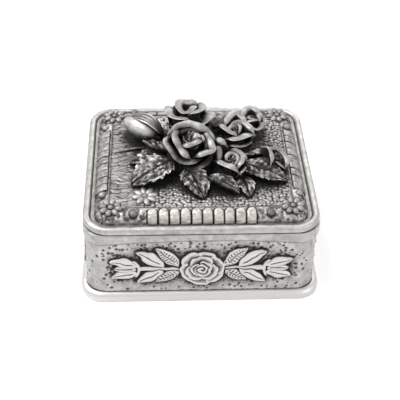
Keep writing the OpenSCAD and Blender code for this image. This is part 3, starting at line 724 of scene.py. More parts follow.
def smooth_curve(points, count):
    """A curve through the points, evenly stepped along its chords: Catmull-Rom cubics."""
    p = np.asarray(points, float)
    p = np.concatenate([2 * p[:1] - p[1:2], p, 2 * p[-1:] - p[-2:-1]])
    chord = np.concatenate([[0], np.cumsum(np.linalg.norm(np.diff(p[1:-1], axis=0), axis=1))])
    along = np.linspace(0, chord[-1], count)
    k = np.clip(np.searchsorted(chord, along, "right") - 1, 0, len(chord) - 2)
    t = ((along - chord[k]) / (chord[k + 1] - chord[k]))[:, None]
    a, b, c, d = p[k], p[k + 1], p[k + 2], p[k + 3]
    square, cube = 2 * a - 5 * b + 4 * c - d, 3 * b - a - 3 * c + d
    return 0.5 * (2 * b + (c - a) * t + square * t ** 2 + cube * t ** 3)


def unit(vectors):
    """The vectors at length 1."""
    return vectors / (np.linalg.norm(vectors, axis=-1, keepdims=True) + 1e-9)


def petal_loops(rim, top, lip, core, thick, seed=0):
    """One petal as loops across its wall, from one end of its rim to the other, in the flower's own frame.

    The wall climbs from a foot, 0.34 of the way from the core, to the rim's curve: in plan it goes out as
    the sine of v to the power 0.8, in height as v to the power 1.2. At the top it rolls outwards over an
    elliptic arc of 106 degrees, as wide as the lip and thinner towards its edge. The rim runs on past both
    of its end points, where it sinks, uncurls and grows thin. Walls are dark below the rim and on the inside,
    with patina and painted shade.
    """
    rim = np.asarray(rim, float)
    beyond = 0.45
    rim = np.concatenate([rim[:1] + beyond * (rim[:1] - rim[1:2]), rim,
                          rim[-1:] + beyond * (rim[-1:] - rim[-2:-1])])
    size = np.linalg.norm(np.diff(rim, axis=0), axis=1).sum()
    count = max(16, round(size / 0.3))
    curve = smooth_curve(rim, count)
    step = unit(np.gradient(curve, axis=0))
    out = np.stack([step[:, 1], -step[:, 0]], -1)
    if np.sum(out * (curve - core)) < 0:
        curve, out = curve[::-1], -out[::-1]
    u = np.linspace(-1, 1, count)
    end = eased((1 - np.abs(u)) / min(0.9, 5.6 / size))
    waver = unevenness(u * size * 0.22 + seed * 3.1, 0 * u + seed, 61)
    roll = lip / 1.26 * (0.06 + 0.94 * end) * (1 + 0.22 * waver)
    high = top - 1.5 * (1 - end) ** 1.8 - 0.25 * u ** 2 + 0.25 * waver
    edge = curve - out * (roll * 0.75)[:, None]
    sink = np.minimum(roll * 0.70, 0.28 + 0.30 * roll)
    foot = core + (edge - core) * 0.34
    v = np.linspace(0, 1, 13)[None, :, None]
    wall = foot[:, None] + (edge - foot)[:, None] * np.sin(np.pi / 2 * v) ** 0.8
    wall_z = (high - sink)[:, None] * v[..., 0] ** 1.2
    bend = np.radians(np.linspace(0, 106, 11))[None, 1:]
    lips = edge[:, None] + out[:, None] * (roll[:, None] * (1 - np.cos(bend)))[..., None]
    lips_z = (high - sink)[:, None] + sink[:, None] * np.sin(bend)
    middle = np.concatenate([np.concatenate([wall, lips], 1),
                             np.concatenate([wall_z, lips_z], 1)[..., None]], -1)
    along, up = np.gradient(middle, axis=0), np.gradient(middle, axis=1)
    away = unit(np.cross(along, up))
    if np.sum(away[:, 6, :2] * out) < 0:
        away = -away
    rows = middle.shape[1]
    fill = np.concatenate([np.linspace(0.8, 0.85, 13), np.linspace(0.85, 0.34, 10)])[None, :]
    thick = thick * min(1.0, 0.5 + size / 24)
    half = (thick / 2 * fill * (0.28 + 0.72 * end)[:, None])[..., None]
    ahead = unit(up[:, -1:])
    caps = [middle[:, -1:] + half[:, -1:] * (ahead * math.cos(a) + away[:, -1:] * math.sin(a))
            for a in np.radians((60, 30, 0, -30, -60))]
    outer, inner = middle + away * half, middle - away * half
    loop = np.concatenate([outer, *caps, inner[:, ::-1]], 1)
    below = np.clip(high[:, None] - loop[..., 2], 0, None)
    outside = np.concatenate([np.ones(rows), np.ones(5), np.linspace(1, 0, rows)])[None, :]
    fade = 3.0 * outside + 1.4 * (1 - outside)
    worn = np.concatenate([np.zeros(13), np.linspace(0, 1, 10) ** 2, np.ones(5), np.zeros(rows)])[None]
    streaks = unevenness(u[:, None] * size * 1.7 + seed, below * 0.35, 62 + seed)
    # patina and painted shade: walls darken with depth below the rim, inner faces sooner than outer ones
    bright = 0.30 * outside + 0.14 + (0.50 - 0.30 * outside) * np.exp(-(below / fade) ** 1.3) + 0.26 * worn
    bright = bright + 0.13 * streaks * eased(below / 0.8) + 0.10 * waver[:, None]
    return loop, np.clip(bright, 0, 1)


def arched(radius, first, last, x=0.0, y=0.0):
    """Rim points of a plain petal: an arc about (x, y) between two angles in degrees."""
    return [tuple(q) for q in arc(x, y, radius, radius, first, last, 6)]


def furled(x, y, radius, first, depth):
    """Petals of a furled heart about (x, y): arcs that overlap like a pinwheel, lower towards the middle."""
    whorl = ((1.0, 0, 150, 0.2), (0.95, 170, 140, -0.2), (0.66, 80, 170, 0.3), (0.60, 250, 160, -0.1),
             (0.3, 20, 230, 0.1))
    return [(depth - 0.05 * k, 0.42,
             arched(radius * share, first + way, first + way + span, x + 0.25 * radius * off, y))
            for k, (share, way, span, off) in enumerate(whorl)]


def heart_rows(x, y, radius, top, seed):
    """The crumpled heart of a rose: a low dome about (x, y), its ridges running outwards from the middle."""
    r = np.concatenate([[1.0, 1.0, 1.0], np.linspace(1.0, 0.03, 24)])[:, None]
    a = np.radians(line(0, 360, 90))[None, :]
    wide = unevenness(np.cos(a + r) * 2.6 + 20, np.sin(a + r) * 2.6 + r * 2.0, seed)
    ridge = unevenness(np.cos(a + 1.4 * r) * 5.5 + 20, np.sin(a + 1.4 * r) * 5.5 + r * 5.0, seed + 1)
    z = top - 0.5 * r ** 2 + (0.46 * ridge + 0.45 * wide) * eased(r * 3)
    z[:3] = np.array([[top - 3.0], [top - 1.8], [top - 0.9]])
    reach = radius * r * (1 + 0.06 * ridge)
    bright = np.clip(0.56 + 0.46 * ridge + 0.30 * wide - 0.25 * bell(r / 0.25), 0.03, 0.9)
    return np.stack([x + reach * np.cos(a), y + reach * np.sin(a), z + 0 * a], -1), bright


# Hearts of the flowers: middle, radius, and share of the flower's depth
HEARTS = {
    "rose_large": (-1.5, 0.8, 2.7, 0.93), "rose_back": (0.7, 0.9, 1.9, 0.80),
    "rose_right": (-0.6, 0.6, 1.9, 0.80), "rose_far": (0.8, 0.3, 1.7, 0.76),
    "rose_small": (-0.3, 0.0, 2.1, 0.76), "rosebud_edge": (1.4, -0.8, 1.2, 0.72),
}

# Flowers: the rim's middle, depth, lean from upright, way it leans, width of the foot, core, and the
# petals from the outside in. A petal: share of the depth, width of its lip, and the points of its rim.
ROSES = {
    "rose_large": ((-3.2, -5.0, 38.5), 8.5, 36, -94, 14.8, (-1.4, 0.5), [
        (0.70, 1.1, arched(6.6, 95, 175, -0.6, 0.4)), (0.68, 1.2, arched(6.8, 165, 250, -0.4, 0)),
        (0.60, 1.1, arched(6.2, -20, 75, 0, 0.8)),
        (0.80, 1.25, [(-3.0, -5.9), (-1.7, -6.8), (-0.8, -6.9), (0.5, -6.0), (2.1, -4.8), (3.5, -3.8),
                      (4.5, -2.4), (4.9, -0.3), (4.5, 1.7), (3.7, 3.2)]),
        (0.95, 1.3, [(-4.2, 3.9), (-3.4, 4.8), (-2.1, 5.7), (-0.5, 6.4), (1.0, 7.0), (1.7, 6.4), (2.2, 4.9),
                     (2.9, 3.2), (3.2, 1.8)]),
        (0.95, 1.4, [(-3.1, -5.4), (-4.8, -4.6), (-5.9, -3.3), (-6.2, -1.6), (-6.5, 0.1), (-5.9, 2.0),
                     (-5.2, 3.6), (-4.3, 5.1)]),
        (0.98, 1.6, [(-4.4, -3.0), (-3.1, -4.3), (-1.8, -4.2), (0.0, -3.3), (1.7, -2.2), (3.0, -1.1),
                     (3.9, 0.4)]),
        (0.90, 0.8, [(-3.2, 4.1), (-1.4, 5.0), (0.4, 5.0), (1.6, 4.4)]),
        (0.84, 1.0, arched(3.9, 120, 240, -1.2, 0.2)),
        (1.0, 1.3, [(0.1, -2.3), (0.4, -0.7), (0.0, 0.7), (-0.6, 1.9), (-1.1, 3.1), (-1.7, 4.1)]),
        (0.95, 0.5, [(-1.0, 4.1), (-2.2, 4.0), (-3.3, 3.2)]),
        *furled(-1.7, 0.9, 1.1, 40, 0.95)]),
    "rose_back": ((-2.5, 9.6, 41.0), 9.6, 7, 90, 15.6, (0.8, 0.5), [
        (0.64, 1.3, arched(6.6, 22, 70, 0.6, 0)), (0.62, 1.3, arched(6.9, -48, 30, 0.4, 0)),
        (0.88, 2.1, [(3.5, 5.5), (1.4, 6.4), (-1.0, 6.3), (-3.1, 5.3), (-4.1, 3.8), (-4.4, 2.1),
                     (-4.2, 0.2)]),
        (0.66, 2.3, [(-3.9, -3.4), (-2.2, -4.7), (-0.2, -5.7), (1.9, -6.4), (3.7, -6.5)]),
        (0.80, 1.3, arched(5.0, 30, 120, 1.0, 0)),
        (0.97, 1.6, [(-2.9, 0.7), (-2.6, -1.1), (-1.5, -2.9), (0.3, -3.9), (2.4, -3.7), (4.3, -2.6)]),
        (1.0, 1.7, [(1.3, -1.9), (-0.5, -0.9), (-2.6, 0.7), (-2.8, 2.1), (-1.3, 3.0), (1.1, 3.6), (2.9, 3.3),
                    (3.9, 2.2), (3.8, 0.4), (3.7, -1.4), (2.7, -2.4)]),
        *furled(0.7, 0.9, 1.7, 200, 0.80)]),
    "rose_right": ((11.0, 4.0, 37.0), 6.8, 6, -60, 11.4, (0.2, 0.6), [
        (0.74, 1.1, arched(5.0, 35, 120, 0, 0)), (0.70, 1.0, arched(5.2, -60, 40)),
        (0.95, 1.3, [(-3.9, -1.2), (-5.0, -0.1), (-6.0, 1.4), (-6.7, 3.4), (-6.4, 4.6), (-4.7, 4.9),
                     (-2.2, 5.0)]),
        (0.95, 1.8, [(-5.1, -2.6), (-3.6, -2.8), (-1.7, -2.4), (0.1, -1.8), (1.8, -0.6)]),
        (0.93, 1.7, [(1.1, -4.0), (2.5, -3.2), (3.2, -1.5), (3.4, 0.5), (3.4, 2.6), (3.2, 4.4)]),
        (1.0, 1.2, [(-2.8, -0.4), (-3.0, 1.3), (-2.5, 3.0), (-1.4, 3.9), (0.7, 4.2), (2.8, 4.4)]),
        (0.92, 0.7, [(-0.9, -1.2), (-2.2, -0.8), (-2.3, 0.8), (-2.0, 2.2), (-0.4, 1.9), (0.9, 0.4)]),
        *furled(-0.6, 0.6, 1.2, 90, 0.80)]),
    "rose_far": ((16.2, 12.6, 36.0), 5.8, 12, 45, 8.8, (0.6, 0.2), [
        (0.80, 1.0, arched(4.2, -60, 60)), (0.78, 1.0, arched(4.0, 40, 140)),
        (0.70, 1.3, [(-2.4, -1.5), (-3.8, -3.4), (-3.4, -5.1), (-1.1, -5.1), (1.8, -3.3)]),
        (0.95, 1.3, [(-4.8, -1.9), (-3.3, -2.3), (-1.0, -2.6), (0.5, -2.9), (1.0, -3.6)]),
        (1.0, 1.3, [(-1.9, 1.7), (0.2, 3.0), (2.0, 3.3), (3.4, 3.0), (4.1, 1.8), (3.2, -0.6), (1.2, -2.7)]),
        (0.9, 0.6, [(-1.4, 0.9), (-1.8, -0.6), (-0.4, -1.5), (1.0, -1.2)]),
        *furled(0.8, 0.3, 1.5, 30, 0.74)]),
    "rose_small": ((9.0, -7.0, 35.2), 5.4, 12, -90, 9.4, (-0.4, -0.1), [
        (0.72, 0.9, arched(4.4, 90, 170, 0, 0)), (0.70, 0.9, arched(4.2, 20, 90, 0.6, 0)),
        (1.06, 1.4, [(-7.0, -4.9), (-6.4, -3.6), (-5.6, -2.0), (-5.0, -1.0)]),
        (0.98, 1.5, [(-5.6, -3.6), (-4.0, -3.7), (-1.8, -3.6), (0.4, -3.8)]),
        (0.93, 1.6, [(0.0, -4.8), (1.1, -3.7), (2.1, -2.3), (2.8, -1.0), (3.5, 0.4), (4.2, 1.5), (4.6, 2.3)]),
        (0.98, 1.1, [(-3.6, -0.6), (-3.7, 0.5), (-2.9, 1.9), (-1.7, 3.0), (-0.2, 3.3), (1.2, 3.0), (2.3, 2.2),
                     (3.4, 1.3)]),
        (0.90, 0.7, [(0.5, -1.7), (-1.3, -1.4), (-2.4, -0.1), (-1.9, 1.3), (-0.2, 1.9), (1.6, 1.1),
                     (1.9, -0.3)]),
        *furled(-0.3, 0.0, 1.3, 150, 0.78)]),
    "rosebud_edge": ((22.6, -3.4, 34.0), 4.4, 22, -30, 7.4, (1.4, -0.8), [
        (0.7, 0.8, arched(3.0, 60, 150, 0.6, 0)),
        (0.80, 1.0, [(0.2, -2.8), (1.4, -2.4), (2.6, -2.5), (4.2, -2.3), (4.9, -1.3)]),
        (1.15, 1.1, [(-4.4, -1.0), (-3.1, -1.0), (-1.7, -2.1), (-0.4, -3.9), (0.5, -5.2)]),
        (1.0, 1.1, [(-2.4, 0.1), (-1.2, 1.6), (0.6, 1.7), (2.3, 1.1), (3.8, -0.1), (4.4, -1.8)]),
        (0.85, 0.8, [(-0.1, -0.8), (-0.1, 0.6), (1.1, 0.9), (2.4, 0.4), (3.2, -0.7)])]),
}


def rose_form(name):
    """A rose: its petals in their own frame, a crumpled heart, a solid foot and five sepals, put in place."""
    place, depth, lean, way, width, core, petals = ROSES[name]
    turn, rim_middle = seat(place, lean, way)
    origin = rim_middle - turn @ np.array([0, 0, depth])
    form = Form()

    def put(points, bright):
        form.tube(points @ turn.T + origin, bright)

    thick = mm("petal") * min(1.0, 0.55 + width / 32)
    for number, (share, lip, rim) in enumerate(petals):
        put(*petal_loops(rim, depth * share, lip, np.array(core), thick, number + len(name)))
    x, y, radius, share = HEARTS[name]
    put(*heart_rows(x, y, radius, depth * share, 30 + len(name)))
    swing = np.radians(line(0, 360, 40))
    rows = []
    for share, radius in ((0.0, 0.10), (0.02, 0.17), (0.2, 0.24), (0.36, 0.30), (0.5, 0.24), (0.64, 0.10),
                          (0.68, 0.02)):
        ring = width * radius
        shift = np.array(core) * share
        rows.append(np.stack([ring * np.cos(swing) + shift[0], ring * np.sin(swing) + shift[1],
                              np.full(40, depth * share)], -1))
    # painted shade: the foot under the flower is dark
    put(np.array(rows), 0.26)
    for k in range(5):
        first = 72 * k + 4
        sepal = arched(width * 0.40, first, first + 34)
        points, bright = petal_loops(sepal, depth * 0.44, 0.5, np.zeros(2), 0.5, k)
        # painted shade: the sepals under the petals are darker
        put(points, bright * 0.6)
    return form


def leaf_form(base, tip, width, arch, fold, teeth=7, seed=0, roll=0.0, rolled_side=1, lobes=0.14,
              rugged=1.0):
    """A toothed rose leaf: a rugged sheet over its midrib with cut veins, folded and rolled, closed below.

    The midrib is a straight run lifted by 4 arch s (1 - s). Its half width is sin(pi s^0.8)^0.75 with
    saw teeth and lobes. Across it the sheet rises by the fold and swells between the veins, and one edge
    rolls up as the cube. The rugged share scales the veins, the swelling and the unevenness.
    """
    form = Form()
    base, tip = np.asarray(base, float), np.asarray(tip, float)
    s = np.linspace(0, 1, 90)[:, None]
    t = np.linspace(-1, 1, 49)[None, :]
    run = tip - base
    side = unit(np.cross([0, 0, 1.0], unit(run)))
    up = np.cross(unit(run), side)
    wide = np.abs(t)
    saw = (s * teeth - 0.35 * wide + 0.3 * (t > 0)) % 1.0
    half = width / 2 * (np.sin(np.pi * np.clip(s, 0.004, 0.996) ** 0.8) ** 0.75)
    wobble = unevenness(s * 5 + seed * 2.3, np.sign(t) * 3 + 0 * s + seed, 72)
    reach = half * (1 + (0.20 * (saw - 0.4) + lobes * wobble) * wide ** 3 * eased((1 - s) * 6))
    vein = s * teeth * 1.05 - 0.9 * wide + 0.12 * unevenness(s * 6, t * 3, 73 + seed)
    swell = np.abs(np.sin(np.pi * vein)) ** 0.6
    relief = 0.25 * (swell - 0.5) * eased(wide * 4) * eased(half / 1.2)
    relief = relief - 0.34 * bell(t * half / 0.22)
    relief = relief + 0.26 * unevenness(s * width * 1.1, t * width * 0.6, 74 + seed)
    relief = rugged * (relief + 0.17 * unevenness(s * width * 2.7, t * width * 1.5, 75 + seed))
    rolled = np.clip(t * rolled_side, 0, 1) ** 3 * roll
    lift = fold * half * wide + rolled * half + relief
    lift = lift + 0.30 * unevenness(s * 3.2 + seed, t * 1.6 + seed, 70 + seed)
    thick = 0.8 - 0.35 * wide ** 2
    across = reach * t * (1 - 0.25 * roll * np.clip(t * rolled_side, 0, 1) ** 2)
    spine = base + run * s[..., None] + np.array([0, 0, 4 * arch]) * (s * (1 - s))[..., None]
    top = spine + side * across[..., None] + up * lift[..., None]
    low = spine + side * (across * 0.97)[..., None] + up * (lift - thick)[..., None]
    bright = 0.46 + 1.10 * relief + 0.28 * wide ** 4 + 0.40 * rolled / max(roll, 0.3)
    bright = np.clip(bright + 0.16 * unevenness(s * 7, t * 3, 71 + seed), 0.02, 1)
    loop = np.concatenate([top, low[:, ::-1]], 1)
    # painted shade: the leaf's underside is dark, lifted along the rolled edge
    under = 0.12 + 0.85 * rolled[:, ::-1] / max(roll, 0.3) + 0 * bright
    form.tube(loop[:, ::-1], np.concatenate([bright, np.clip(under, 0, 1)], 1)[:, ::-1])
    return form


# Leaves: stalk, tip, width, arch, fold, and extras
LEAVES = {
    "leaf_front_left": ((-8.0, -4.8, 32.6), (-19.7, -12.4, 30.0), 10.4, 1.0, 0.06, {"seed": 1, "teeth": 6}),
    "leaf_front_centre": ((-3.4, -7.4, 31.8), (0.7, -18.2, 29.9), 7.4, 0.5, 0.14, {"seed": 2, "teeth": 6}),
    "leaf_front_curled": ((2.2, -10.8, 31.0), (10.8, -16.5, 30.3), 6.0, 0.9, 0.04,
                          {"seed": 3, "roll": 0.8, "rolled_side": -1, "teeth": 5}),
    "leaf_front_right": ((12.2, -9.8, 30.3), (13.6, -17.9, 29.9), 4.8, 0.3, 0.1, {"seed": 4, "teeth": 4}),
    "leaf_right": ((12.4, -5.8, 31.6), (25.0, -11.2, 30.1), 7.6, 0.9, 0.10, {"seed": 5, "teeth": 8}),
    "leaf_right_upper": ((12.8, -1.2, 32.0), (22.6, 4.6, 30.0), 6.4, 0.8, 0.1, {"seed": 6, "rugged": 0.8}),
    "leaf_back": ((4.8, 11.6, 32.0), (11.4, 20.2, 30.0), 7.2, 0.9, 0.12, {"seed": 7, "rugged": 0.45}),
    "leaf_left": ((-9.6, -0.6, 31.2), (-20.4, -2.6, 29.9), 5.8, 0.8, 0.1, {"seed": 8, "lobes": 0.25}),
    "sepal_left": ((-9.8, -0.4, 32.2), (-16.4, 3.6, 33.6), 4.6, -0.6, 0.15,
                   {"seed": 9, "roll": 0.9, "rolled_side": 1, "teeth": 3}),
}

BUD_MIDDLE = np.array([-16.4, 9.4, 33.4])
BUD_WAY, BUD_DIP, BUD_LENGTH, BUD_WIDTH = 145, -4, 13.6, 8.2
# Petals round the closed bud: first and last angle, share of the bud's width, share of its length, seed
BUD_WRAPS = ((66, 250, 1.08, 0.98, 1), (150, 320, 0.92, 0.80, 2), (-70, 40, 0.62, 0.30, 3))


def bud_form():
    """The closed bud: a streaked egg along its own axis, with three striated petals wrapped round it.

    The curve sin(pi (0.04 + 0.93 s^0.9))^0.8 gives the egg's radius, to the power 0.75 and times 3.2 mm.
    The petals follow the same curve a little further out, each over its own arc and part of the length,
    with fine folds that run along it.
    """
    form = Form()
    turn, middle = seat(BUD_MIDDLE, BUD_DIP, BUD_WAY)

    def along(s):
        return np.sin(np.pi * (0.04 + 0.93 * s ** 0.9)) ** 0.8

    s = np.linspace(0.012, 0.988, 60)[:, None]
    a = np.radians(line(0, 360, 72))[None, :]
    radius = 3.2 * along(s) ** 0.75
    egg = np.stack([BUD_LENGTH * 0.86 * (s - 0.5) + 0.3 + 0 * a, radius * np.cos(a) + 0.9,
                    radius * np.sin(a) + 0.4], -1)
    bright = np.clip(0.88 + 0.10 * unevenness(a * 9, s * 1.6, 97) - 0.45 * eased((0.18 - s) * 5), 0.05, 1)
    form.tube((egg @ turn.T + middle)[:, ::-1], bright[:, ::-1])
    for first, last, grow, far, seed in BUD_WRAPS:
        w = np.linspace(0, 1, 70)[None, :]
        angle = np.radians(first + (last - first) * w)
        lengthwise = np.linspace(0.02, far, 48)[:, None]
        folds = unevenness(w * 26 + 0 * lengthwise, lengthwise * 2.2, 90 + seed)
        folds = folds + 0.6 * unevenness(w * 60 + 0 * lengthwise, lengthwise * 3, 93 + seed)
        ends = eased(np.minimum(w, 1 - w) * 9)
        radius = BUD_WIDTH / 2 * grow * along(lengthwise) + 0.17 * folds * ends + 0.1
        x = BUD_LENGTH * (lengthwise - 0.5) - 0.9 * np.square(2 * w - 1) * lengthwise
        outer = np.stack([x, radius * np.cos(angle), radius * np.sin(angle)], -1)
        thin = radius - 0.5 * (0.25 + 0.75 * ends)
        inner = np.stack([x, thin * np.cos(angle), thin * np.sin(angle)], -1)
        shade = 0.54 + 0.36 * folds + 0.22 * (1 - eased(np.minimum(w, 1 - w) * 14))
        shade = shade - 0.4 * eased((0.12 - lengthwise) * 8)
        loop = np.concatenate([outer, inner[:, ::-1]], 1) @ turn.T + middle
        # painted shade: the wraps' inner faces, towards the egg, are dark
        shade = np.concatenate([np.clip(shade, 0.04, 1), np.full(shade.shape, 0.08)], 1)
        form.tube(loop[:, ::-1], shade[:, ::-1])
    return form


def mound_slab(step):
    """The mound under the flowers, dark with patina and painted shade: lumps blended by a soft maximum,
    roughened like crumpled leaves.
    """
    x, y = np.meshgrid(np.arange(-15.5, 25.5, step), np.arange(-11.5, 17.5, step))
    lumps = (((-2.4, 4.2), 10, 4.2), ((10.8, 4.0), 7.6, 3.3), ((-9.8, 6.4), 4.6, 2.8),
             ((8.4, -4.6), 5.4, 2.4), ((19.4, -1.4), 4.6, 1.8), ((14.8, 10.6), 4.8, 2.6))
    height = np.full(x.shape, -0.6)
    for (cx, cy), radius, high in lumps:
        away = np.hypot(x - cx, y - cy) / radius
        height = np.maximum(height, high * (1 - eased((away - 0.55) / 0.6)) - 0.4 * eased((away - 1) * 4))
    crumple, _ = pebbles(x / 2.2, y / 2.2, 81)
    height = np.where(height > 0, height + 0.5 * (0.5 - crumple) * eased(height), height)
    z = mm("field_height") + height
    back = np.stack([x, y, np.full_like(x, mm("ceiling") + 0.5)], -1)
    # patina and painted shade: the mound is kept dark under the flowers
    bright = 0.22 + 0.25 * eased(0.5 - crumple) + 0.1 * unevenness(x, y, 82)
    return np.stack([x, y, z], -1), back, np.clip(bright, 0, 1)


def node_tree(material):
    """The node tree of a fresh material, its output and its principled shader."""
    material.use_nodes = True
    nodes = material.node_tree.nodes
    return material.node_tree, nodes["Material Output"], nodes["Principled BSDF"]


def joined(tree, node_type, values=(), links=()):
    """A node with its inputs set by name or number, and linked from other sockets."""
    node = tree.nodes.new(node_type)
    for key, value in values:
        node.inputs[key].default_value = value
    for key, socket in links:
        tree.links.new(socket, node.inputs[key])
    return node


def ramp(tree, socket, stops):
    """A colour ramp over a socket, from (position, colour) stops."""
    node = joined(tree, "ShaderNodeValToRGB", (), [("Fac", socket)])
    elements = node.color_ramp.elements
    while len(elements) < len(stops):
        elements.new(0.5)
    for element, (position, shade) in zip(elements, stops):
        element.position = position
        element.color = shade
    return node.outputs["Color"]


def maths(tree, operation, first, second):
    """A maths node over sockets or numbers."""
    node = tree.nodes.new("ShaderNodeMath")
    node.operation = operation
    for place, value in enumerate((first, second)):
        if isinstance(value, (int, float)):
            node.inputs[place].default_value = value
        else:
            tree.links.new(value, node.inputs[place])
    return node.outputs[0]


def seen_rays(tree):
    """1 on camera, glossy and transmitted rays, so that metal shows the background that the camera sees."""
    path = tree.nodes.new("ShaderNodeLightPath").outputs
    shiny = maths(tree, "MAXIMUM", path["Is Glossy Ray"], path["Is Transmission Ray"])
    return maths(tree, "MAXIMUM", path["Is Camera Ray"], shiny)


def grey(level):
    """An opaque grey, for a colour ramp that carries a number."""
    return (level, level, level, 1)


def object_noise(tree, place, scale, **inputs):
    """Noise of a scale at a place, with its other inputs by name."""
    noise = joined(tree, "ShaderNodeTexNoise", [("Scale", scale), *inputs.items()], [("Vector", place)])
    return noise.outputs["Fac"]


def pewter(name, lift=0.0, warm=0.0, coarse=520.0):
    """Antiqued pewter: patina in the hollows and rubbed metal on the edges, with the painted shade and light
    of the brightness attribute, blotched and finely pitted.
    """
    material = bpy.data.materials.get(name)
    if material:
        return material
    material = bpy.data.materials.new(name)
    tree, _, shader = node_tree(material)
    place = tree.nodes.new("ShaderNodeTexCoord").outputs["Object"]
    bright = tree.nodes.new("ShaderNodeAttribute")
    bright.attribute_name = "bright"
    blotch = object_noise(tree, place, coarse, Detail=5.0, Roughness=0.62)
    fine = object_noise(tree, place, coarse * 7, Detail=3.0)
    uneven = maths(tree, "MULTIPLY", maths(tree, "SUBTRACT", blotch, 0.5), 0.42)
    grain = maths(tree, "MULTIPLY", maths(tree, "SUBTRACT", fine, 0.5), 0.22)
    # level: the brightness attribute, which carries patina, rubbed edges and painted shade and light, plus
    # blotches and grain
    level = maths(tree, "ADD", maths(tree, "ADD", bright.outputs["Fac"], uneven),
                  maths(tree, "ADD", grain, lift))
    shade = ramp(tree, level, [(0.12, tint("patina")), (0.42, tint("dull")), (0.70, tint("satin")),
                               (1.0, tint("rubbed"))])
    if warm:
        cream = tree.nodes.new("ShaderNodeAttribute")
        cream.attribute_name = "cream"
        mix = joined(tree, "ShaderNodeMix")
        mix.data_type = "RGBA"
        tarnish = maths(tree, "MULTIPLY", cream.outputs["Fac"], maths(tree, "MULTIPLY", level, warm))
        tree.links.new(tarnish, mix.inputs["Factor"])
        tree.links.new(shade, mix.inputs[6])
        mix.inputs[7].default_value = tint("cream")
        shade = mix.outputs[2]
    tree.links.new(shade, shader.inputs["Base Color"])
    metal = ramp(tree, level, [(0.15, grey(0.3)), (0.45, grey(1))])
    tree.links.new(metal, shader.inputs["Metallic"])
    gloss = ramp(tree, level, [(0.1, grey(0.75)), (0.6, grey(0.56)), (1.0, grey(0.44))])
    tree.links.new(gloss, shader.inputs["Roughness"])
    bump = joined(tree, "ShaderNodeBump", [("Strength", 0.35), ("Distance", 0.00006)],
                  [("Height", maths(tree, "ADD", fine, blotch))])
    tree.links.new(bump.outputs["Normal"], shader.inputs["Normal"])
    return material


def cloth(name, base, sheen, scale):
    """Short-pile velvet or felt: mottled colour, matt, with a soft sheen and a fine pile."""
    material = bpy.data.materials.new(name)
    tree, _, shader = node_tree(material)
    place = tree.nodes.new("ShaderNodeTexCoord").outputs["Object"]
    pile = object_noise(tree, place, scale, Detail=4.0)
    brushed = object_noise(tree, place, scale / 14, Detail=2.0)
    level = maths(tree, "ADD", maths(tree, "MULTIPLY", pile, 0.4), maths(tree, "MULTIPLY", brushed, 0.6))
    dark = tuple(c * 0.45 for c in base[:3]) + (1.0,)
    light = tuple(min(1.0, c * 1.7 + 0.004) for c in base[:3]) + (1.0,)
    tree.links.new(ramp(tree, level, [(0.3, dark), (0.7, light)]), shader.inputs["Base Color"])
    shader.inputs["Roughness"].default_value = 0.95
    shader.inputs["Sheen Weight"].default_value = sheen
    shader.inputs["Sheen Roughness"].default_value = 0.4
    bump = joined(tree, "ShaderNodeBump", [("Strength", 0.6), ("Distance", 0.00015)], [("Height", pile)])
    tree.links.new(bump.outputs["Normal"], shader.inputs["Normal"])
    return material


def drawn_steel(name):
    """Drawn wire: streaks along its length in colour and gloss."""
    material = bpy.data.materials.new(name)
    tree, _, shader = node_tree(material)
    place = tree.nodes.new("ShaderNodeTexCoord").outputs["Object"]
    stretch = joined(tree, "ShaderNodeMapping", [("Scale", (60.0, 2500.0, 2500.0))], [("Vector", place)])
    streak = object_noise(tree, stretch.outputs["Vector"], 1.0, Detail=3.0)
    base = tint("steel")
    dark = tuple(c * 0.6 for c in base[:3]) + (1,)
    tree.links.new(ramp(tree, streak, [(0.2, dark), (0.8, base)]), shader.inputs["Base Color"])
    shader.inputs["Metallic"].default_value = 1.0
    tree.links.new(ramp(tree, streak, [(0.2, grey(0.5)), (0.8, grey(0.3))]), shader.inputs["Roughness"])
    return material


def tall_pieces():
    """The lid's pieces that shade each other."""
    return [o for o in bpy.context.scene.objects if o.type == "MESH" and o.get("shades")]


class PieceOperator:
    """What the operators have in common."""

    bl_options = {"REGISTER", "UNDO"}


def base_piece(form, name):
    """Makes a piece of the base's casting."""
    return form.piece(name, BASE, pewter("walls_metal", 0.10), "pewter_box", ["base_box"])


def lid_piece(form, name):
    """Makes a piece of the lid's casting."""
    return form.piece(name, LID, pewter("lid_metal", 0.0, 0.6), "pewter_lid", ["lid_casting"])


class ROSARY_OT_walls(PieceOperator, bpy.types.Operator):
    """Four walls with rose ornament, punch marks and the swelling under the seam"""

    bl_idname = "rosary.walls"
    bl_label = "Walls"

    def execute(self, context):
        for side, name in enumerate(("front", "right", "back", "left")):
            form = Form()
            form.slab(*wall_sheet(side, WALL_STEP))
            base_piece(form, f"wall_{name}")
        return {"FINISHED"}


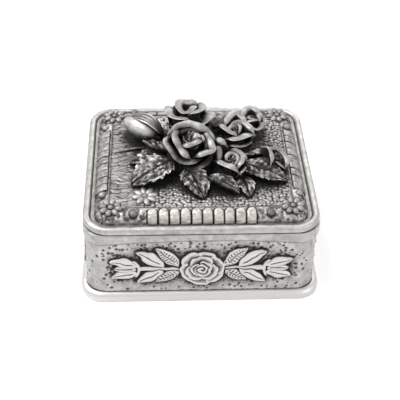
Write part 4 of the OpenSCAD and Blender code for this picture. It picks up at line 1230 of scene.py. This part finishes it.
class ROSARY_OT_base(PieceOperator, bpy.types.Operator):
    """Plinth, inner faces, seam, floor and hinge knuckles of the base"""

    bl_idname = "rosary.base"
    bl_label = "Base"

    def execute(self, context):
        form = Form()
        form.ring(*plinth_ring())
        form.ring(*wall_core())
        base_piece(form, "plinth_and_rim")
        inside = mm("wall_inside")
        form = Form()
        form.tube(plate(mm("lid_width") / 2 - inside + 0.2, mm("lid_depth") / 2 - inside + 0.2,
                        mm("base_radius") - inside + 0.2, 0.8, mm("floor_top"), 0.1), 0.55)
        base_piece(form, "base_floor")
        outline = np.concatenate([
            arc(KNUCKLE_Y, KNUCKLE_Z, KNUCKLE_RADIUS, KNUCKLE_RADIUS, -90, 10, 18),
            [(KNUCKLE_Y + 1.6, KNUCKLE_Z + 0.3), (KNUCKLE_Y + 1.6, KNUCKLE_Z + 1.0)],
            [(KNUCKLE_Y - 2.2, KNUCKLE_Z + 1.0), (KNUCKLE_Y - 2.2, KNUCKLE_Z - KNUCKLE_RADIUS)],
        ])
        form = Form()
        for flip in (-1, 1):
            start, end = sorted(flip * reach for reach in BASE_KNUCKLE)
            form.tube(barrel(outline, start, end, KNUCKLE_BEVEL), 0.7)
        base_piece(form, "base_knuckles")
        return {"FINISHED"}


class ROSARY_OT_linings(PieceOperator, bpy.types.Operator):
    """Velvet-covered cards on the floor, the walls and the lid's underside, and the felt underneath"""

    bl_idname = "rosary.linings"
    bl_label = "Linings and felt"

    def execute(self, context):
        velvet = cloth("velvet_pile", tint("velvet"), 0.6, 2600.0)
        felt = cloth("felt_pile", tint("felt"), 0.2, 1800.0)
        for node, body, material, radius, edge in (("lining_floor", BASE, velvet, 3.2, 0.35),
                                                   ("lid_lining", LID, velvet, 2.9, 0.35),
                                                   ("base_felt", BASE, felt, 3.4, 0.15)):
            low, high = node_box(node)
            form = Form()
            card = plate(high[0], high[1], radius, 0.0, high[2] - low[2], edge)
            if node != "lining_floor":
                card = card * np.array([1, -1, -1]) + np.array([0, 0, high[2]])
            else:
                card = card + np.array([0, 0, low[2]])
            form.tube(card, 0.5)
            form.piece(node + "_cloth", body, material, "felt" if node == "base_felt" else "velvet", [node])
        for quarters, node in enumerate(("lining_front", "lining_right", "lining_back", "lining_left")):
            low, high = node_box(node)
            along = high[0] if quarters % 2 == 0 else high[1]
            thick = min(high[0] - low[0], high[1] - low[1])
            card = plate(along, (high[2] - low[2]) / 2, 0.6, 0.0, thick, 0.35)
            inner = mm("lid_depth" if quarters % 2 == 0 else "lid_width") / 2 - mm("wall_inside")
            card = np.stack([-card[..., 0], card[..., 2] - inner, card[..., 1] + (high[2] + low[2]) / 2], -1)
            card = np.concatenate([quarter_turned(card[..., :2], quarters), card[..., 2:]], -1)
            form = Form()
            form.tube(card, 0.5)
            form.piece(node + "_cloth", BASE, velvet, "velvet", [node])
        return {"FINISHED"}


class ROSARY_OT_pin(PieceOperator, bpy.types.Operator):
    """Steel finish of the hinge pin"""

    bl_idname = "rosary.pin"
    bl_label = "Hinge pin"

    def execute(self, context):
        pin = frame["nodes"]["hinge_pin"]
        pin.data.materials.clear()
        pin.data.materials.append(drawn_steel("pin_steel"))
        return {"FINISHED"}


class ROSARY_OT_lid(PieceOperator, bpy.types.Operator):
    """Rim, groove, barred slope, field, corner flowers, beads, daisy and knuckle of the lid"""

    bl_idname = "rosary.lid"
    bl_label = "Lid casting"

    def execute(self, context):
        points, bright, cream = lid_ring(RING_STEP)
        form = Form()
        form.ring(points, bright)
        ring = lid_piece(form, "lid_rim_and_bars")
        ring.data.attributes.new("cream", "FLOAT", "POINT").data.foreach_set("value", cream.ravel())
        form = Form()
        form.slab(*field_slab(FIELD_STEP))
        lid_piece(form, "lid_field")["shades"] = True
        self.ornaments()
        web_top = KNUCKLE_Z + 2.5
        swing = np.radians(np.linspace(-180, 0, 20))
        barrel_round = KNUCKLE_RADIUS * np.stack([np.cos(swing), np.sin(swing)], -1)
        outline = np.concatenate([
            barrel_round + (KNUCKLE_Y, KNUCKLE_Z),
            [(KNUCKLE_Y + 0.9, KNUCKLE_Z + 1.3), (KNUCKLE_Y - 0.1, web_top), (KNUCKLE_Y - 1.5, web_top)],
            [(KNUCKLE_Y - 1.5, mm("seam_height") + 0.35), (KNUCKLE_Y - 1.2, mm("seam_height") + 0.25)],
        ])
        form = Form()
        form.tube(barrel(outline, -LID_KNUCKLE_HALF, LID_KNUCKLE_HALF, KNUCKLE_BEVEL), 0.75)
        lid_piece(form, "lid_knuckle")
        return {"FINISHED"}

    def ornaments(self):
        """Flowers of bead petals at the corners, beads beside them, and the daisy on the field."""
        field = mm("field_height")
        half_x, half_y = field_half()
        row_x, row_y = (count * mm("bar_pitch") / 2 for count in BARS)
        form = Form()
        for sx in (-1, 1):
            for sy in (-1, 1):
                centre = np.array([sx * (half_x - 0.9), sy * (half_y - 0.3), field + 0.05])
                first = 12 * sx
                petals = 0.66 + 0.12 * scattered(line(0, 360, 8) + first, sx + sy, 5)
                bead_flower(form, centre, (1.2, 0.92, 0.86), (0.85, 0.85, 0.8), centre + (0, 0, 0.1), first,
                            (petals, 0.66))
                beads = [(sx * (row_x + 3.8), sy * (half_y + 1.9), field - 0.5),
                         (sx * (half_x + 1.6), sy * (row_y + 1.6), field - 0.4)]
                knobs(form, np.array(beads), [(1.35, 1.35, 1.3), (1.15, 1.15, 1.1)], [0, 0], [0.55, 0.72])
        daisy = np.array([10.4 - half_x, 4.9 - half_y, field + 0.12])
        bead_flower(form, daisy, (1.6, 0.92, 0.78), (0.8, 0.8, 0.7), daisy, 11, (0.80, 0.7))
        lid_piece(form, "corner_flowers_and_daisy")


class ROSARY_OT_bouquet(PieceOperator, bpy.types.Operator):
    """Mound, roses, buds, leaves and twig of the bouquet"""

    bl_idname = "rosary.bouquet"
    bl_label = "Bouquet"

    def execute(self, context):
        form = Form()
        form.slab(*mound_slab(MOUND_STEP))
        # the mound's material is lowered a little, for patina and painted shade under the flowers
        made = [form.piece("bouquet_mound_metal", LID, pewter("mound_metal", -0.05), "pewter_mound",
                           ["bouquet_mound"])]
        roses = pewter("roses_metal", 0.06)
        for name in ROSES:
            made.append(rose_form(name).piece(name + "_petals", LID, roses, "pewter_roses", [name], 60))
        made.append(bud_form().piece("rosebud_closed_egg", LID, roses, "pewter_roses", ["rosebud_closed"]))
        leaves = pewter("leaves_metal", 0.0)
        for name, (base, tip, width, arch, fold, extra) in LEAVES.items():
            form = leaf_form(base, tip, width, arch, fold, **extra)
            made.append(form.piece(name + "_blade", LID, leaves, "pewter_leaves", [name], 60))
        made.append(self.twig(leaves))
        for piece in made:
            piece["shades"] = True
        return {"FINISHED"}

    def twig(self, material):
        """A thin wavy stalk along the field, with five knots along it."""
        s = np.linspace(0, 1, 60)
        path = np.stack([-12.4 - 12.6 * s, 3.8 + 1.1 * np.sin(np.pi * s) - 0.9 * s,
                         30.2 - 0.9 * s ** 0.6], -1)
        radius = 0.42 - 0.14 * s + 0.12 * bell((s * 5 % 1 - 0.5) / 0.12)
        around = np.radians(line(0, 360, 10))
        rows = path[:, None] + radius[:, None, None] * np.stack(
            np.broadcast_arrays(0 * around, np.cos(around), np.sin(around)), -1)[None]
        form = Form()
        form.tube(rows, 0.7)
        return form.piece("twig_left_stalk", LID, material, "pewter_leaves", ["twig_left"])


class ROSARY_OT_painted_shade_and_patina(PieceOperator, bpy.types.Operator):
    """Paints shade, with the patina of the deepest hollows, into the lid's pieces where their neighbours hide
    the sky: the mean sine of the horizon's height
    """

    bl_idname = "rosary.patina"
    # painted shade and patina in the depths
    bl_label = "Patina in the depths"

    def execute(self, context):
        cell = 0.3
        width, depth = round(mm("lid_width") / cell), round(mm("lid_depth") / cell)
        tops = np.full((depth, width), mm("field_height"))
        clouds = []
        for piece in tall_pieces():
            flat = np.zeros(len(piece.data.vertices) * 3)
            piece.data.vertices.foreach_get("co", flat)
            points = flat.reshape(-1, 3) / MM
            i = np.clip(((points[:, 1] + mm("lid_depth") / 2) / cell).astype(int), 0, depth - 1)
            j = np.clip(((points[:, 0] + mm("lid_width") / 2) / cell).astype(int), 0, width - 1)
            np.maximum.at(tops, (i, j), points[:, 2])
            clouds.append((piece, points[:, 2], i, j))
        for piece, points, i, j in clouds:
            blocked = np.zeros(len(points))
            for way in np.radians(line(0, 360, 12)):
                horizon = np.zeros(len(points))
                for away in (0.6, 0.9, 1.3, 1.8, 2.5, 3.4):
                    di, dj = round(math.sin(way) * away / cell), round(math.cos(way) * away / cell)
                    over = tops[np.clip(i + di, 0, depth - 1), np.clip(j + dj, 0, width - 1)] - points - 0.15
                    horizon = np.maximum(horizon, over / np.hypot(over, away))
                blocked += horizon / 12
            attribute = piece.data.attributes["bright"]
            bright = np.zeros(len(points))
            attribute.data.foreach_get("value", bright)
            # painted shade: brightness scaled down where neighbours hide the sky, an ambient occlusion that
            # also stands for patina deep in the hollows
            open_sky = eased((0.84 - blocked) / 0.72)
            bright = bright * (0.14 + 0.86 * open_sky)
            attribute.data.foreach_set("value", np.clip(bright, 0, 1))
        return {"FINISHED"}


class ROSARY_OT_stage(PieceOperator, bpy.types.Operator):
    """Pale floor, plain soft studio light and the camera"""

    bl_idname = "rosary.stage"
    bl_label = "Stage"

    def execute(self, context):
        scene = context.scene
        scene.view_settings.view_transform = "Standard"
        self.camera(scene)
        self.world(scene)
        self.floor(scene)
        for name, place, size, power in (("key", (-0.24, 0.02, 0.46), 0.36, 1.9),
                                         ("fill", (0.40, -0.30, 0.24), 0.30, 0.5),
                                         ("back", (0.12, 0.40, 0.30), 0.30, 0.6)):
            self.lamp(scene, name, place, size, power)
        return {"FINISHED"}

    def camera(self, scene):
        """The photograph's viewpoint: azimuth -3.8 degrees, elevation 42.2 degrees, rolled by 1.9 degrees."""
        data = bpy.data.cameras.new("camera")
        data.sensor_width = 36.0
        data.sensor_fit = "HORIZONTAL"
        data.lens = LENS
        azimuth, elevation, roll = (math.radians(angle) for angle in CAMERA_ANGLES)
        camera = bpy.data.objects.new("camera", data)
        turn = (Matrix.Rotation(azimuth, 4, "Z") @ Matrix.Rotation(math.pi / 2 - elevation, 4, "X")
                @ Matrix.Rotation(roll, 4, "Z"))
        camera.matrix_world = Matrix.Translation(CAMERA_PLACE) @ turn
        data.clip_start = 0.01
        scene.collection.objects.link(camera)
        scene.camera = camera

    def world(self, scene):
        """A soft white room, darker towards the ground, that the camera sees as plain white."""
        world = bpy.data.worlds.new("studio")
        scene.world = world
        world.use_nodes = True
        tree = world.node_tree
        room = tree.nodes["Background"]
        way = tree.nodes.new("ShaderNodeTexCoord").outputs["Generated"]
        height = joined(tree, "ShaderNodeSeparateXYZ", (), [("Vector", way)]).outputs["Z"]
        shade = ramp(tree, maths(tree, "ADD", maths(tree, "MULTIPLY", height, 0.5), 0.5),
                     [(0.0, grey(0.6)), (0.5, (0.55, 0.55, 0.56, 1)), (0.72, (0.85, 0.85, 0.86, 1)),
                      (1.0, (0.55, 0.55, 0.56, 1))])
        tree.links.new(shade, room.inputs["Color"])
        room.inputs["Strength"].default_value = 0.62
        white = joined(tree, "ShaderNodeBackground", [("Color", (1, 1, 1, 1)), ("Strength", 1.0)])
        mix = joined(tree, "ShaderNodeMixShader")
        tree.links.new(seen_rays(tree), mix.inputs[0])
        tree.links.new(room.outputs[0], mix.inputs[1])
        tree.links.new(white.outputs[0], mix.inputs[2])
        tree.links.new(mix.outputs[0], tree.nodes["World Output"].inputs["Surface"])

    def floor(self, scene):
        """A pale table that keeps the box's soft shadow."""
        mesh = bpy.data.meshes.new("table")
        half = 2.0
        mesh.from_pydata([(-half, -half, 0), (half, -half, 0), (half, half, 0), (-half, half, 0)], [],
                         [(0, 1, 2, 3)])
        material = bpy.data.materials.new("table")
        tree, output, shader = node_tree(material)
        shader.inputs["Base Color"].default_value = tint("floor")
        shader.inputs["Roughness"].default_value = 0.9
        shader.inputs["Specular IOR Level"].default_value = 0.1
        glow = joined(tree, "ShaderNodeEmission", [("Color", (1, 1, 1, 1))])
        tree.links.new(maths(tree, "MULTIPLY", seen_rays(tree), 0.40), glow.inputs["Strength"])
        both = joined(tree, "ShaderNodeAddShader")
        tree.links.new(shader.outputs[0], both.inputs[0])
        tree.links.new(glow.outputs[0], both.inputs[1])
        tree.links.new(both.outputs[0], output.inputs["Surface"])
        mesh.materials.append(material)
        table = bpy.data.objects.new("table", mesh)
        scene.collection.objects.link(table)

    def lamp(self, scene, name, place, size, power):
        """A square soft box that faces the object."""
        data = bpy.data.lights.new(name, "AREA")
        data.size = size
        data.energy = power
        lamp = bpy.data.objects.new(name, data)
        lamp.location = place
        aim = Matrix.Translation((0, 0, 0.015)).translation - lamp.location
        lamp.rotation_euler = aim.to_track_quat("-Z", "Y").to_euler()
        scene.collection.objects.link(lamp)


OPERATORS = (ROSARY_OT_stage, ROSARY_OT_walls, ROSARY_OT_base, ROSARY_OT_linings, ROSARY_OT_pin,
             ROSARY_OT_lid, ROSARY_OT_bouquet, ROSARY_OT_painted_shade_and_patina)


class ROSARY_PT_panel(bpy.types.Panel):
    """Lists the pieces and their sizes"""

    bl_idname = "ROSARY_PT_panel"
    bl_label = "Rosary Box"
    bl_space_type = "VIEW_3D"
    bl_region_type = "UI"
    bl_category = "Rosary Box"

    def draw(self, context):
        for group in (context.scene.rosary_sizes, context.scene.rosary_colours):
            box = self.layout.box()
            for name in group.__annotations__:
                box.prop(group, name)
        for operator in OPERATORS:
            self.layout.operator(operator.bl_idname)


CLASSES = (RosaryBoxSizes, RosaryBoxColours, *OPERATORS, ROSARY_PT_panel)


def register():
    for cls in CLASSES:
        bpy.utils.register_class(cls)
    bpy.types.Scene.rosary_sizes = bpy.props.PointerProperty(type=RosaryBoxSizes)
    bpy.types.Scene.rosary_colours = bpy.props.PointerProperty(type=RosaryBoxColours)


def unregister():
    del bpy.types.Scene.rosary_sizes
    del bpy.types.Scene.rosary_colours
    for cls in reversed(CLASSES):
        bpy.utils.unregister_class(cls)


def main():
    """Registers the add-on and runs its operators in order."""
    register()
    bpy.ops.rosary.stage()
    bpy.ops.rosary.walls()
    bpy.ops.rosary.base()
    bpy.ops.rosary.linings()
    bpy.ops.rosary.pin()
    bpy.ops.rosary.lid()
    bpy.ops.rosary.bouquet()
    # paints shade, with patina, where neighbours hide the sky
    bpy.ops.rosary.patina()


if __name__ == "__main__":
    main()
